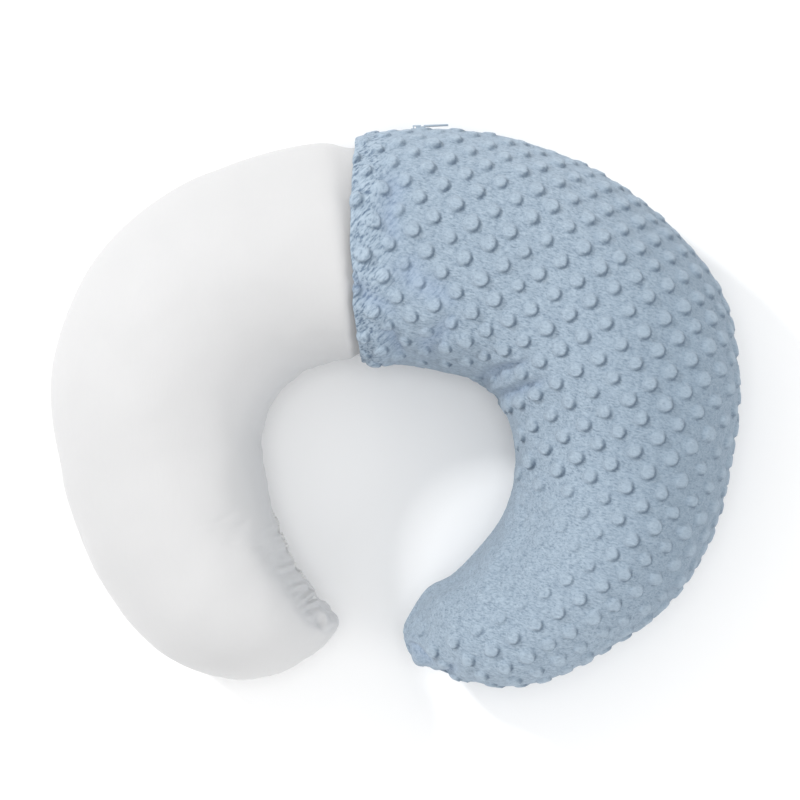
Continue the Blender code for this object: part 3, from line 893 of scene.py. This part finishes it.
def keepHalf(piece, way):
    # keeps the faces above the seam for 1, below it for -1
    def cut(bm):
        layer = bm.verts.layers.float["up"]
        gone = [face for face in bm.faces if sum(v[layer] for v in face.verts) * way <= 0]
        bmesh.ops.delete(bm, geom=gone, context="FACES")

    reshape(piece, cut)


def thicken(piece, thickness):
    wall = piece.modifiers.new("wall", "SOLIDIFY")
    wall.thickness = thickness
    wall.offset = -1
    wall.use_quality_normals = True
    applyAll(piece)


def faceOutward(piece):
    # on an open or closed skin, makes the faces look away from the stuffing
    mesh = piece.data
    top = max(mesh.polygons, key=lambda face: abs(face.center.z - seamHeight))
    way = 1 if top.center.z > seamHeight else -1
    if top.normal.z * way < 0:
        mesh.flip_normals()


def makePillow(ticking, wadding):
    rows, tags = pillowRows()
    skinPiece = netMesh("pillow_skin", rows, tags, closed=True)
    faceOutward(skinPiece)
    station, reach = tagged(skinPiece, "station"), tagged(skinPiece, "reach")
    cap = pillowSet["leastSwell"] + pillowSet["swell"] * np.array([bareShare(s) for s in station])
    least = pillowSet["seamSwell"]
    cap *= least + (1 - least) * easeAll(reach / pillowSet["swellReach"])
    for tip in (form["bareTip"] + station, form["coverTip"] - station):
        cap *= easeAll(tip / pillowSet["tipFade"])
    simulate(skinPiece, pillowSet["pressure"], pillowSet["frames"], cap,
             pins=reach < 1e-6, slack=clothSet["pillowSlack"])
    setAbove(skinPiece, coordinates(skinPiece))

    stuffing = duplicate(skinPiece, "fibre_fill_wadding")
    inner = coordinates(stuffing) - vertexNormals(stuffing) * pillowSet["waddingDepth"]
    inner += vertexNormals(stuffing) * layered(inner, pillowSet["waddingLumps"])[:, None]
    setAbove(stuffing, inner, pillowSet["waddingFloor"])
    stuffing.data.materials.append(wadding)
    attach(stuffing, "pillow")
    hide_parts("fibre_fill")

    subdivide(skinPiece, 1)
    puckerSkin(skinPiece)
    panels = []
    for name, way, node in (("pillow_top_cloth", 1, "pillow_top_panel"),
                            ("pillow_bottom_cloth", -1, "pillow_bottom_panel")):
        panel = duplicate(skinPiece, name)
        keepHalf(panel, way)
        thicken(panel, pillowSet["cloth"])
        panel.data.shade_smooth()
        panel.data.materials.append(ticking)
        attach(panel, "pillow")
        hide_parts(node)
        panels.append(panel)
    print("pillow panels", [len(p.data.polygons) for p in panels])
    return skinPiece


# Hand stitches that close the stuffing opening

stitchSet = {
    "start": -141.0,
    "stop": -109.0,
    "pitch": 1.35,                # degrees between stitches
    "radius": 0.00042,
    "reach": 0.0030,              # up and down from the seam
    "lean": 0.45,                 # degrees each stitch slants
    "arch": 0.0007,
    "search": 0.012,              # how far from the seam the skin is looked for
}


def makeStitches(skinPiece, thread):
    places = coordinates(skinPiece)
    normals = vertexNormals(skinPiece)
    edge = tagged(skinPiece, "edge")
    near = np.nonzero((edge < -0.75) & (tagged(skinPiece, "reach") < stitchSet["search"]))[0]
    tree = treeOf([Vector(places[i]) for i in near])
    count = round((stitchSet["stop"] - stitchSet["start"]) / stitchSet["pitch"])
    curve = bpy.data.curves.new("closing_stitches", "CURVE")
    curve.dimensions = "3D"
    curve.bevel_depth = stitchSet["radius"]
    curve.bevel_resolution = 2
    curve.use_fill_caps = True
    for i in range(count + 1):
        station = stitchSet["start"] + stitchSet["pitch"] * i
        wobble = noise.noise(Vector((i * 1.7, 0.4, 0)))
        spline = curve.splines.new("POLY")
        spline.points.add(6)
        for k in range(7):
            t = k / 6 * 2 - 1
            here = station + stitchSet["lean"] * t * (1 + 0.4 * wobble)
            guess = hole + pillowPoint(here, math.pi)
            level = seamLevel(section("bare", here)[1].length)
            guess.z = level + t * stitchSet["reach"] * (1 + 0.2 * wobble)
            spot, order, _ = tree.find(guess)
            normal = Vector(normals[near[order]])
            lift = stitchSet["radius"] * 0.6 + stitchSet["arch"] * (1 - t * t)
            lift -= stitchSet["radius"] * 3 * (abs(t) > 0.99)
            onSkin = guess - normal * (guess - spot).dot(normal)
            spline.points[k].co = (*(onSkin + normal * lift), 1)
    stitches = addObject("closing_stitches", curve)
    only(stitches)
    bpy.ops.object.convert(target="MESH")
    reshape(stitches, lambda bm: bmesh.ops.remove_doubles(bm, verts=bm.verts, dist=0.00001))
    reshape(stitches, lambda bm: bmesh.ops.recalc_face_normals(bm, faces=bm.faces))
    stitches.data.shade_smooth()
    stitches.data.materials.clear()
    stitches.data.materials.append(thread)
    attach(stitches, "pillow")
    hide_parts("closing_thread")


# Dotted cover: two panels over the pillow

coverSet = {
    "step": 1.55,                 # degrees between stations
    "mouthRows": (0.0, 0.25, 0.6, 1.2),
    "around": 46,                 # rows over a panel
    "firstRow": 7.0,              # degrees up from the seam
    "lip": 0.0025,
    "seamGap": 0.0004,
    "slotHalfWidth": 0.005,
    "cloth": 0.0026,
    "pressure": 1.5,
    "frames": 14,
    "swell": 0.0018,
    "mouthRoll": 0.0035,
    "mouthRadius": 0.19,          # of the middle of the mouth about the hole
    "mouthBow": 0.0052,
    "calmReach": 0.0075,
    "calmRounds": 24,
    "liningShare": 0.62,
}

dotSet = {
    "alongRow": Vector((0.0286, -0.0060)),
    "toNextRow": Vector((0.0113, -0.0160)),
    "origin": Vector((0.0040, 0.2060)),
    "base": 0.0063,
    "top": 0.0046,
    "height": 0.0031,
    "gentle": 0.0015,             # the base reaches this much further on the side the pile comes from
    "steepWay": Vector((0.80, -0.60, 0.0)),
    "stray": 0.0015,              # a dot's centre off its place in the lattice
    "found": 0.0016,              # a dot further than this from the cloth is left out
    "wobble": 0.0005,             # how uneven the outlines are
    "wobbleSize": 0.0032,
    "oddSize": 0.12,
    "oddHeight": 0.4,
    "skirt": 0.0012,
    "pressedDown": 0.72,          # height lost where the pile lies flat
    "seamFade": 0.006,
    "sideFade": 0.045,
    "fuzz": ((0.0035, 3.0, 0.00022),),
}

foldSet = {
    "wander": 0.0022,             # creases stray this far from their paths
    "wanderSize": 0.018,
    "mouthFade": 0.030,
    "ridge": 0.0024,              # the cloth stands up a little inside the mouth
    "ridgePlace": 0.016,
    "ridgeHalfWidth": 0.012,
    "ripple": 0.0028,
    "rippleSize": (0.012, 0.045),
    "lumps": ((0.048, 1.0, 0.0026), (0.020, 6.0, 0.0011)),
    "lumpSink": 0.0006,
    "tuck": 0.0014,
    "tipFullness": 0.0022,
    "knotPlace": (0.0215, -0.1500),   # where the cloth bunches at the tip
    "knotSize": 0.0100,
    "knotHeight": 0.0048,
    "limit": 0.0052,              # no crease is deeper than this
}

# Folds: (points in plan from the hole's middle, half width, depth, shoulder height, crispness)
folds = (
    (((0.004, 0.236), (0.000, 0.216), (-0.003, 0.200), (0.002, 0.184), (0.008, 0.166)),
     0.0100, 0.0034, 0.0010, 2.0),
    (((0.006, 0.172), (0.017, 0.152), (0.038, 0.139), (0.058, 0.124)), 0.013, 0.0044, 0.0010, 2.0),
    (((0.066, 0.073), (0.080, 0.078), (0.096, 0.084), (0.112, 0.094)), 0.0048, 0.0044, 0.0020, 1.6),
    (((0.082, 0.062), (0.094, 0.065), (0.110, 0.070), (0.127, 0.080)), 0.0046, 0.0038, 0.0016, 1.6),
    (((-0.036, 0.156), (-0.022, 0.143), (-0.006, 0.131), (0.010, 0.122)), 0.006, 0.0030, 0.0012, 1.8),
    (((0.022, 0.096), (0.038, 0.112), (0.052, 0.130)), 0.009, 0.0038, 0.0010, 2.0),
    (((-0.008, 0.116), (0.004, 0.100), (0.010, 0.088)), 0.006, 0.0028, 0.0010, 2.0),
    (((0.0120, -0.1362), (0.0216, -0.1395), (0.0295, -0.1451), (0.0319, -0.1555)),
     0.0036, 0.0044, 0.0014, 1.6),
    (((0.050, -0.150), (0.041, -0.158), (0.038, -0.168)), 0.0040, 0.0026, 0.0010, 1.8),
)


def zipSlot():
    # stations between which the outer edges stand back from the zip
    low = []
    for place in (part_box("zip_top_stop_upper"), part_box("zip_bottom_stop")):
        centre = (place[0] + place[1]) / 2 - hole
        low.append(math.degrees(math.atan2(centre.x, centre.y)))
    return low[0] - 1.0, low[1] + 1.2


slotStart, slotStop = zipSlot()


def slotRise(station):
    into = ease((station - slotStart + 1.2) / 1.2) * ease((slotStop + 1.2 - station) / 1.2)
    return coverSet["seamGap"] + (coverSet["slotHalfWidth"] - coverSet["seamGap"]) * into


def coverRows(way):
    tips = tipRun(form["coverTip"])
    mouth = form["mouth"]
    first = [mouth + past for past in coverSet["mouthRows"]]
    stations = first + evenly(first[-1], tips[0], coverSet["step"])[1:-1] + tips
    span = 180 - 2 * coverSet["firstRow"]
    arch = [math.radians(coverSet["firstRow"] + span * i / coverSet["around"])
            for i in range(coverSet["around"] + 1)]
    rows, tags = [], {}
    for station in stations:
        level = seamLevel(section("cover", station)[1].length)
        lip = coverSet["lip"] * taper("cover", station)
        rise = slotRise(station)
        row = []
        for turn, out in ((0.0, rise), (0.0, rise + lip)):
            point = coverPoint(station, turn, coverSink(station, turn))
            point.z = level + way * out
            row.append(point)
        if station == form["coverTip"]:
            row = [row[0]] * (len(arch) + 4)
        else:
            row += [coverPoint(station, way * turn, coverSink(station, turn)) for turn in arch]
            for out in (coverSet["seamGap"] + lip, coverSet["seamGap"]):
                point = coverPoint(station, math.pi, coverSink(station, math.pi))
                point.z = level + way * out
                row.append(point)
        turns = [0.0, 0.0] + arch + [math.pi, math.pi]
        lengths = runningLengths(row)
        crown = lengths[len(row) // 2]
        centre, half, _ = section("cover", station)
        out = half.normalized()
        flat = [centre + out * (crown - run) for run in lengths]
        fromMouth = math.radians(station - mouth) * centre.length
        border = [0.0] * len(row)
        border[0] = border[-1] = 1.0
        if station in (mouth, form["coverTip"]):
            border = 1.0
        addRow(rows, tags, row, station=station, border=border,
               roll=max(0.0, 1 - fromMouth / coverSet["mouthRoll"]),
               reach=[min(run, lengths[-1] - run) for run in lengths],
               up=[way * math.sin(t) for t in turns], edge=[math.cos(t) for t in turns],
               flatX=[p.x for p in flat], flatY=[p.y for p in flat])
    return rows, tags


def mouthDistance(station):
    return np.radians(station - form["mouth"]) * coverSet["mouthRadius"]


def foldShift(places, station, edge, reach, way):
    # creases, the rolled mouth and the ripples beside it
    look = foldSet
    xy = places[:, :2] - np.array(hole[:2])
    shift = np.zeros(len(places))
    hollow = np.zeros(len(places))
    wander = np.stack([noiseAt(places, look["wanderSize"], seed) for seed in (8.0, 11.0)], axis=1)
    if way > 0:
        for path, wide, depth, shoulder, crisp in folds:
            far, along = distanceToPath(xy + wander * look["wander"], path)
            fade = easeAll(0.25 + along * 4) * easeAll((1 - along) * 2.2)
            reachOut = wide * (1 - 0.45 * along)
            valley = np.exp(-(far / reachOut) ** crisp) * fade
            brow = np.exp(-((far - 2.2 * reachOut) / reachOut) ** 2) * fade
            shift += -depth * valley + shoulder * brow
            hollow = np.maximum(hollow, valley)
    fromMouth = mouthDistance(station)
    besideMouth = np.exp(-(fromMouth / look["mouthFade"]) ** 2)
    ridge = np.exp(-((fromMouth - look["ridgePlace"]) / look["ridgeHalfWidth"]) ** 2)
    shift += look["ridge"] * ridge * (1 if way > 0 else 0.5)
    rippleAlong, rippleAcross = look["rippleSize"]
    level = np.full(len(reach), way * 2.0)
    spots = np.stack([fromMouth / rippleAlong, reach / rippleAcross, level], axis=1)
    ripples = np.array([noise.noise(Vector(p)) for p in spots])
    shift += look["ripple"] * besideMouth * ripples * easeAll(fromMouth / 0.004)
    broad = layered(places, look["lumps"]) - look["lumpSink"]
    shift += broad * easeAll(reach / 0.025) * easeAll(fromMouth / 0.01)
    tucks = np.array([noise.noise(Vector((a * 4.5, b / 0.02, 3.0))) for a, b in zip(edge, reach)])
    shift += look["tuck"] * easeAll((station - 160) / 12) * tucks * easeAll(reach / 0.006)
    shift += look["tipFullness"] * easeAll((station - 150) / 16)
    knot = np.linalg.norm(xy - np.array(look["knotPlace"]), axis=1) / look["knotSize"]
    shift += look["knotHeight"] * np.exp(-knot ** 2)
    shift -= 0.7 * np.maximum(shift, 0) * easeAll((edge - 0.6) * 3) * (station < 160)
    return np.maximum(shift, -look["limit"]), hollow, besideMouth


def foldCover(piece, way):
    places = coordinates(piece)
    station, edge, reach, roll = (tagged(piece, key) for key in ("station", "edge", "reach", "roll"))
    shift, hollow, besideMouth = foldShift(places, station, edge, reach, way)
    shift -= 0.0011 * roll ** 2
    places += vertexNormals(piece) * shift[:, None]
    if way > 0:
        across = np.sin(math.pi * (edge + 1) / 2)
        bow = across * (1 + 0.5 * noiseAt(places, 0.030, 13.0))
        places[:, 0] -= coverSet["mouthBow"] * bow * np.exp(-(mouthDistance(station) / 0.014) ** 2)
    setAbove(piece, places)
    tag(piece, "hollow", np.clip(hollow, 0, 1))
    # the ruffled mask switches the pile pattern and also places the painted shade beside the mouth and in
    # crease valleys
    tag(piece, "ruffled", np.clip(np.maximum(besideMouth * 1.3, hollow * 0.6), 0, 1))


def dotCentres(piece):
    # where the lattice of dots, laid on the flat cloth, comes to lie on the panel
    flat = np.stack([tagged(piece, "flatX"), tagged(piece, "flatY")], axis=1)
    tree = treeOf([Vector((x, y, 0)) for x, y in flat])
    places = coordinates(piece)
    centres = []
    low, high = flat.min(0), flat.max(0)
    for i in range(-30, 31):
        for j in range(-40, 41):
            spot = dotSet["origin"] + i * dotSet["alongRow"] + j * dotSet["toNextRow"]
            stray = Vector((noise.noise(Vector((i, j, 0.3))), noise.noise(Vector((i, j, 5.3)))))
            spot += stray * dotSet["stray"]
            if not (low[0] < spot.x < high[0] and low[1] < spot.y < high[1]):
                continue
            _, index, far = tree.find(Vector((spot.x, spot.y, 0)))
            if far < dotSet["found"]:
                centres.append((Vector(places[index]), noise.noise(Vector((i * 0.7, j * 0.9, 9.1)))))
    return centres


def dotCover(piece, outer):
    # flat-topped dots on the outer skin, each leaning the way the pile was brushed
    look = dotSet
    places = coordinates(piece)
    normals = vertexNormals(piece)
    centres = dotCentres(piece)
    tree = treeOf([place for place, _ in centres])
    station, edge, reach, roll = (tagged(piece, key) for key in ("station", "edge", "reach", "roll"))
    pressed = easeAll((station - 88) / 25) * easeAll((0.35 - edge) / 0.7)
    pressed = np.maximum(pressed, 0.5 * tagged(piece, "hollow"))
    shift = np.zeros(len(places))
    tops = np.zeros(len(places))
    flankShadows = np.zeros(len(places))
    for i in range(outer):
        spot = Vector(places[i])
        place, order, far = tree.find(spot)
        odd = centres[order][1]
        far += look["wobble"] * noise.noise(spot / look["wobbleSize"])
        steep = (spot - place).dot(look["steepWay"]) / max(far, 1e-6)
        base = look["base"] * (1 + look["oddSize"] * odd) + look["gentle"] * ease(0.5 - steep)
        if far >= base + look["skirt"]:
            continue
        top = look["top"] * (1 + look["oddSize"] * odd)
        rise = ease((base - far) / (base - top))
        dome = 1 - 0.12 * (far / base) ** 2 + 0.16 * steep * far / base
        shift[i] = look["height"] * (1 + look["oddHeight"] * odd) * rise * dome
        tops[i] = rise
        # painted shadow mask along the dot's steep side, which faces away from the key light
        band = ease((base + look["skirt"] - far) / 0.0016) * ease((far - top + 0.0005) / 0.0014)
        flankShadows[i] = band * ease(0.10 + 0.95 * steep)
    strength = (1 - look["pressedDown"] * pressed) * easeAll(reach / look["seamFade"]) * (1 - roll)
    shift *= strength * (0.45 + 0.55 * easeAll(reach / look["sideFade"]))
    places += normals * shift[:, None]
    places[:outer] += normals[:outer] * layered(places[:outer], look["fuzz"])[:, None]
    setAbove(piece, places)
    # masks for the painted highlight on dot tops and the painted shadow on their steep side
    tag(piece, "dotTopHighlight", tops * strength)
    tag(piece, "dotFlankShadow", flankShadows * strength)
    print(piece.name, len(centres), "dots")


def calmTip(piece):
    # rounds off the small pole where all the rows meet at the tip
    tip = hole + coverPoint(form["coverTip"], 0.0, outerDepth(form["coverTip"]))

    def calm(bm):
        near = [v for v in bm.verts if (v.co.xy - tip.xy).length < coverSet["calmReach"]]
        for _ in range(coverSet["calmRounds"]):
            bmesh.ops.smooth_vert(bm, verts=near, factor=0.5,
                                  use_axis_x=True, use_axis_y=True, use_axis_z=True)

    reshape(piece, calm)


def thinLining(piece, outer, share):
    # thins the inner skin, which lies hidden against the pillow
    group = piece.vertex_groups.new(name="lining")
    group.add(list(range(outer, len(piece.data.vertices))), 1.0, "REPLACE")
    thin = piece.modifiers.new("thin", "DECIMATE")
    thin.ratio = share
    thin.vertex_group = "lining"
    thin.use_collapse_triangulate = False
    applyAll(piece)
    piece.vertex_groups.clear()


def makeCoverPanel(name, node, way, plush):
    rows, tags = coverRows(way)
    panel = netMesh(name, rows, tags, closed=False)
    faceOutward(panel)
    cap = coverSet["swell"] * (1 - 0.8 * easeAll((tagged(panel, "edge") - 0.5) * 2.5))
    cap *= easeAll((form["coverTip"] - tagged(panel, "station")) / pillowSet["tipFade"])
    simulate(panel, coverSet["pressure"], coverSet["frames"], cap,
             pins=tagged(panel, "border") > 0.5, slack=clothSet["coverSlack"])
    subdivide(panel, 1)
    foldCover(panel, way)
    subdivide(panel, 1)
    outer = len(panel.data.vertices)
    thicken(panel, coverSet["cloth"])
    dotCover(panel, outer)
    calmTip(panel)
    thinLining(panel, outer, coverSet["liningShare"])
    panel.data.shade_smooth()
    panel.data.materials.append(plush)
    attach(panel, "cover")
    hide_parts(node)
    print(name, sum(len(face.vertices) - 2 for face in panel.data.polygons), "triangles")


# Band that lines the mouth

facingSet = {
    "depth": 0.0068,              # under the frame's skin, beneath the cover's own cloth
    "cloth": 0.0018,
    "around": 96,
    "step": 0.8,
    "end": 0.0,
    "lift": 0.0022,               # room for the cover's cloth under it
}


def makeFacing(plainPlush):
    stations = evenly(form["mouth"] + 0.1, facingSet["end"], facingSet["step"])
    rows, tags = [], {}
    turns = [2 * math.pi * i / facingSet["around"] for i in range(facingSet["around"])]
    for station in stations:
        half = section("cover", station)[1].length
        addRow(rows, tags, [coverPoint(station, turn, facingSet["depth"]) for turn in turns],
               station=station, reach=[half * abs(math.sin(turn)) for turn in turns],
               up=[math.sin(turn) for turn in turns], edge=[math.cos(turn) for turn in turns])
    band = netMesh("mouth_facing_band", rows, tags, closed=True)
    faceOutward(band)
    subdivide(band, 1)
    places = coordinates(band)
    station, up, edge, reach = (tagged(band, key) for key in ("station", "up", "edge", "reach"))
    upper, _, _ = foldShift(places, station, edge, reach, 1)
    lower, _, _ = foldShift(places, station, edge, reach, -1)
    shift = np.where(up > 0, upper, lower) * easeAll(np.abs(up) * 4)
    places += vertexNormals(band) * shift[:, None]
    setAbove(band, places, facingSet["cloth"] + facingSet["lift"])
    thicken(band, facingSet["cloth"])
    band.data.materials.append(plainPlush)
    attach(band, "cover")
    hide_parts("cover_mouth_facing")
    print("mouth facing", len(band.data.polygons), "faces")


# Zip: real teeth in place of the plain bars, softened metal

zipSet = {
    "pitch": 0.0016,              # between teeth of one row
    "wire": 0.00042,
    "head": 0.00062,
    "sides": 8,
    "edge": 0.00022,              # rounding on the metal
}


def toothShape():
    # one turn of nylon wire across the zip: a rod with a fatter head at the middle
    bpy.ops.object.select_all(action="DESELECT")
    bpy.ops.mesh.primitive_cylinder_add(vertices=zipSet["sides"], radius=zipSet["wire"], depth=1,
                                        end_fill_type="TRIFAN")
    tooth = bpy.context.object
    bpy.ops.object.mode_set(mode="EDIT")
    bpy.ops.mesh.select_all(action="DESELECT")
    bm = bmesh.from_edit_mesh(tooth.data)
    for face in bm.faces:
        face.select = face.calc_center_median().z < -0.49
    bm.select_flush(True)
    bmesh.update_edit_mesh(tooth.data)
    wider = zipSet["head"] / zipSet["wire"]
    bpy.ops.transform.resize(value=(wider, wider, 1))
    bpy.ops.mesh.select_all(action="SELECT")
    bpy.ops.mesh.bisect(plane_co=(0, 0, -0.22), plane_no=(0, 0, 1))
    bpy.ops.mesh.select_all(action="SELECT")
    bpy.ops.mesh.normals_make_consistent(inside=False)
    bpy.ops.object.mode_set(mode="OBJECT")
    return tooth


def makeTeeth(row, way, tooth, nylon):
    node = "zip_coil_" + row
    axis = joints["zip_travel"]
    low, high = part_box(node)
    places = coordinates(frame["nodes"][node]) - np.array(axis)
    turns = np.arctan2(places[:, 0], places[:, 1])
    radii = np.hypot(places[:, 0], places[:, 1])
    radius = (radii.min() + radii.max()) / 2
    reach = (abs(low.z - axis.z), abs(high.z - axis.z))
    inside, outside = min(reach), max(reach)
    count = int((turns.max() - turns.min()) * radius / zipSet["pitch"]) - 1
    shape = coordinates(tooth)
    quads = [list(face.vertices) for face in tooth.data.polygons]
    points, faces = [], []
    for k in range(count):
        turn = turns.min() + (k + 0.75 + 0.25 * way) * zipSet["pitch"] / radius
        spot = shape.copy()
        spot[:, 2] = inside + (outside - inside) * (spot[:, 2] + 0.5)
        along, out, up = spot[:, 0], radius + spot[:, 1] * 1.5, spot[:, 2] * way
        x = out * math.sin(turn) + along * math.cos(turn)
        y = out * math.cos(turn) - along * math.sin(turn)
        base = len(points)
        points += [tuple(np.array(axis) + (a, b, c)) for a, b, c in zip(x, y, up)]
        faces += [[base + v for v in quad] for quad in quads]
    mesh = bpy.data.meshes.new("zip_teeth_" + row)
    mesh.from_pydata(points, [], faces)
    teeth = addObject("zip_teeth_" + row, mesh)
    reshape(teeth, lambda bm: bmesh.ops.recalc_face_normals(bm, faces=bm.faces))
    only(teeth)
    bpy.ops.object.shade_smooth_by_angle(angle=math.radians(50))
    mesh.materials.append(nylon)
    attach(teeth, "cover")
    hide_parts(node)
    print("zip_teeth_" + row, count, "teeth")


def softenNode(node, name, body, finish):
    # a merged copy of a plain metal part with its edges rounded
    part = duplicate(frame["nodes"][node], name)
    only(part)
    bpy.ops.object.mode_set(mode="EDIT")
    bpy.ops.mesh.select_all(action="SELECT")
    bpy.ops.mesh.customdata_custom_splitnormals_clear()
    bpy.ops.mesh.remove_doubles(threshold=0.000002)
    bpy.ops.mesh.dissolve_limited(angle_limit=math.radians(2))
    bpy.ops.object.mode_set(mode="OBJECT")
    rounding = part.modifiers.new("rounding", "BEVEL")
    rounding.width = zipSet["edge"]
    rounding.segments = 2
    rounding.limit_method = "ANGLE"
    rounding.angle_limit = math.radians(35)
    applyAll(part)
    bpy.ops.object.shade_smooth_by_angle(angle=math.radians(40))
    part.data.materials.clear()
    part.data.materials.append(finish)
    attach(part, body)
    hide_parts(node)


def makeZip(tape, nylon, metal):
    for row, way in (("upper", 1), ("lower", -1)):
        node = frame["nodes"]["zip_tape_" + row]
        node.data.materials.clear()
        node.data.materials.append(tape)
        tooth = toothShape()
        makeTeeth(row, way, tooth, nylon)
        bpy.data.objects.remove(tooth)
        softenNode("zip_top_stop_" + row, "top_stop_" + row, "cover", metal)
    softenNode("zip_bottom_stop", "bottom_stop", "cover", metal)
    softenNode("zip_slider", "slider_body", "zip_slider", metal)
    softenNode("zip_pull", "pull_tab", "zip_pull", metal)


# Studio

studio = {
    "floorSize": 12.0,
    "floorDrop": 0.0002,
    "farEdge": 0.002,             # its far edge stands this much higher
    "floor": (0.97, 0.97, 0.97),
    "mottle": 0.985,
    "world": 0.84,
    "lights": {                   # power, size, place
        "keyLight": (190.0, 0.6, (-4.4, 3.3, 3.9)),
        "fillLight": (34.0, 1.6, (0.0, 0.0, 4.2)),
        "sideLight": (34.0, 2.0, (3.6, -1.6, 2.7)),
    },
}


def makeStudio():
    half = studio["floorSize"] / 2
    bpy.ops.object.select_all(action="DESELECT")
    bpy.ops.mesh.primitive_grid_add(x_subdivisions=4, y_subdivisions=4, size=studio["floorSize"])
    floor = bpy.context.object
    floor.name = "studio_floor"
    places = coordinates(floor)
    places[:, 2] = np.where(places[:, 1] > 0.99 * half, studio["farEdge"], 0.0) - studio["floorDrop"]
    setCoordinates(floor, places)
    pale = studio["floor"]
    finish, nodes, links, shader = newFinish("paleFloor", pale, 0.85)
    mottle = noiseNode(nodes, links, objectSpace(nodes, links), 0.4, 2, 0.4)
    links.new(mixNode(nodes, links, mottle, pale, tuple(studio["mottle"] * c for c in pale)),
              shader.inputs["Base Color"])
    floor.data.materials.append(finish)
    for name, (power, size, place) in studio["lights"].items():
        data = bpy.data.lights.new(name, "AREA")
        data.energy = power
        data.size = size
        lamp = addObject(name, data)
        lamp.location = place
        lamp.rotation_euler = (-Vector(place)).to_track_quat("-Z", "Y").to_euler()
    world = bpy.data.worlds.new("studioWorld")
    world.use_nodes = True
    world.node_tree.nodes["Background"].inputs["Color"].default_value = (1, 1, 1, 1)
    world.node_tree.nodes["Background"].inputs["Strength"].default_value = studio["world"]
    scene.world = world
    scene.view_settings.view_transform = "Standard"


makeCamera()
makeStudio()
print("studio done")
ticking = makeTicking()
plush = makePlush("dottedPlush")
plainPlush = makePlush("plainPlush", dots=False)
pillowSkin = makePillow(ticking, makeMottled("waddingFibre"))
makeStitches(pillowSkin, makeMottled("spunThread"))
bpy.data.objects.remove(pillowSkin)
print("pillow done")
makeCoverPanel("cover_top_plush", "cover_top_panel", 1, plush)
makeCoverPanel("cover_bottom_plush", "cover_bottom_panel", -1, plush)
makeFacing(plainPlush)
print("cover done")
makeZip(makeTapeCloth(), makeMottled("coilNylon"), makeMetal())
print("zip done")
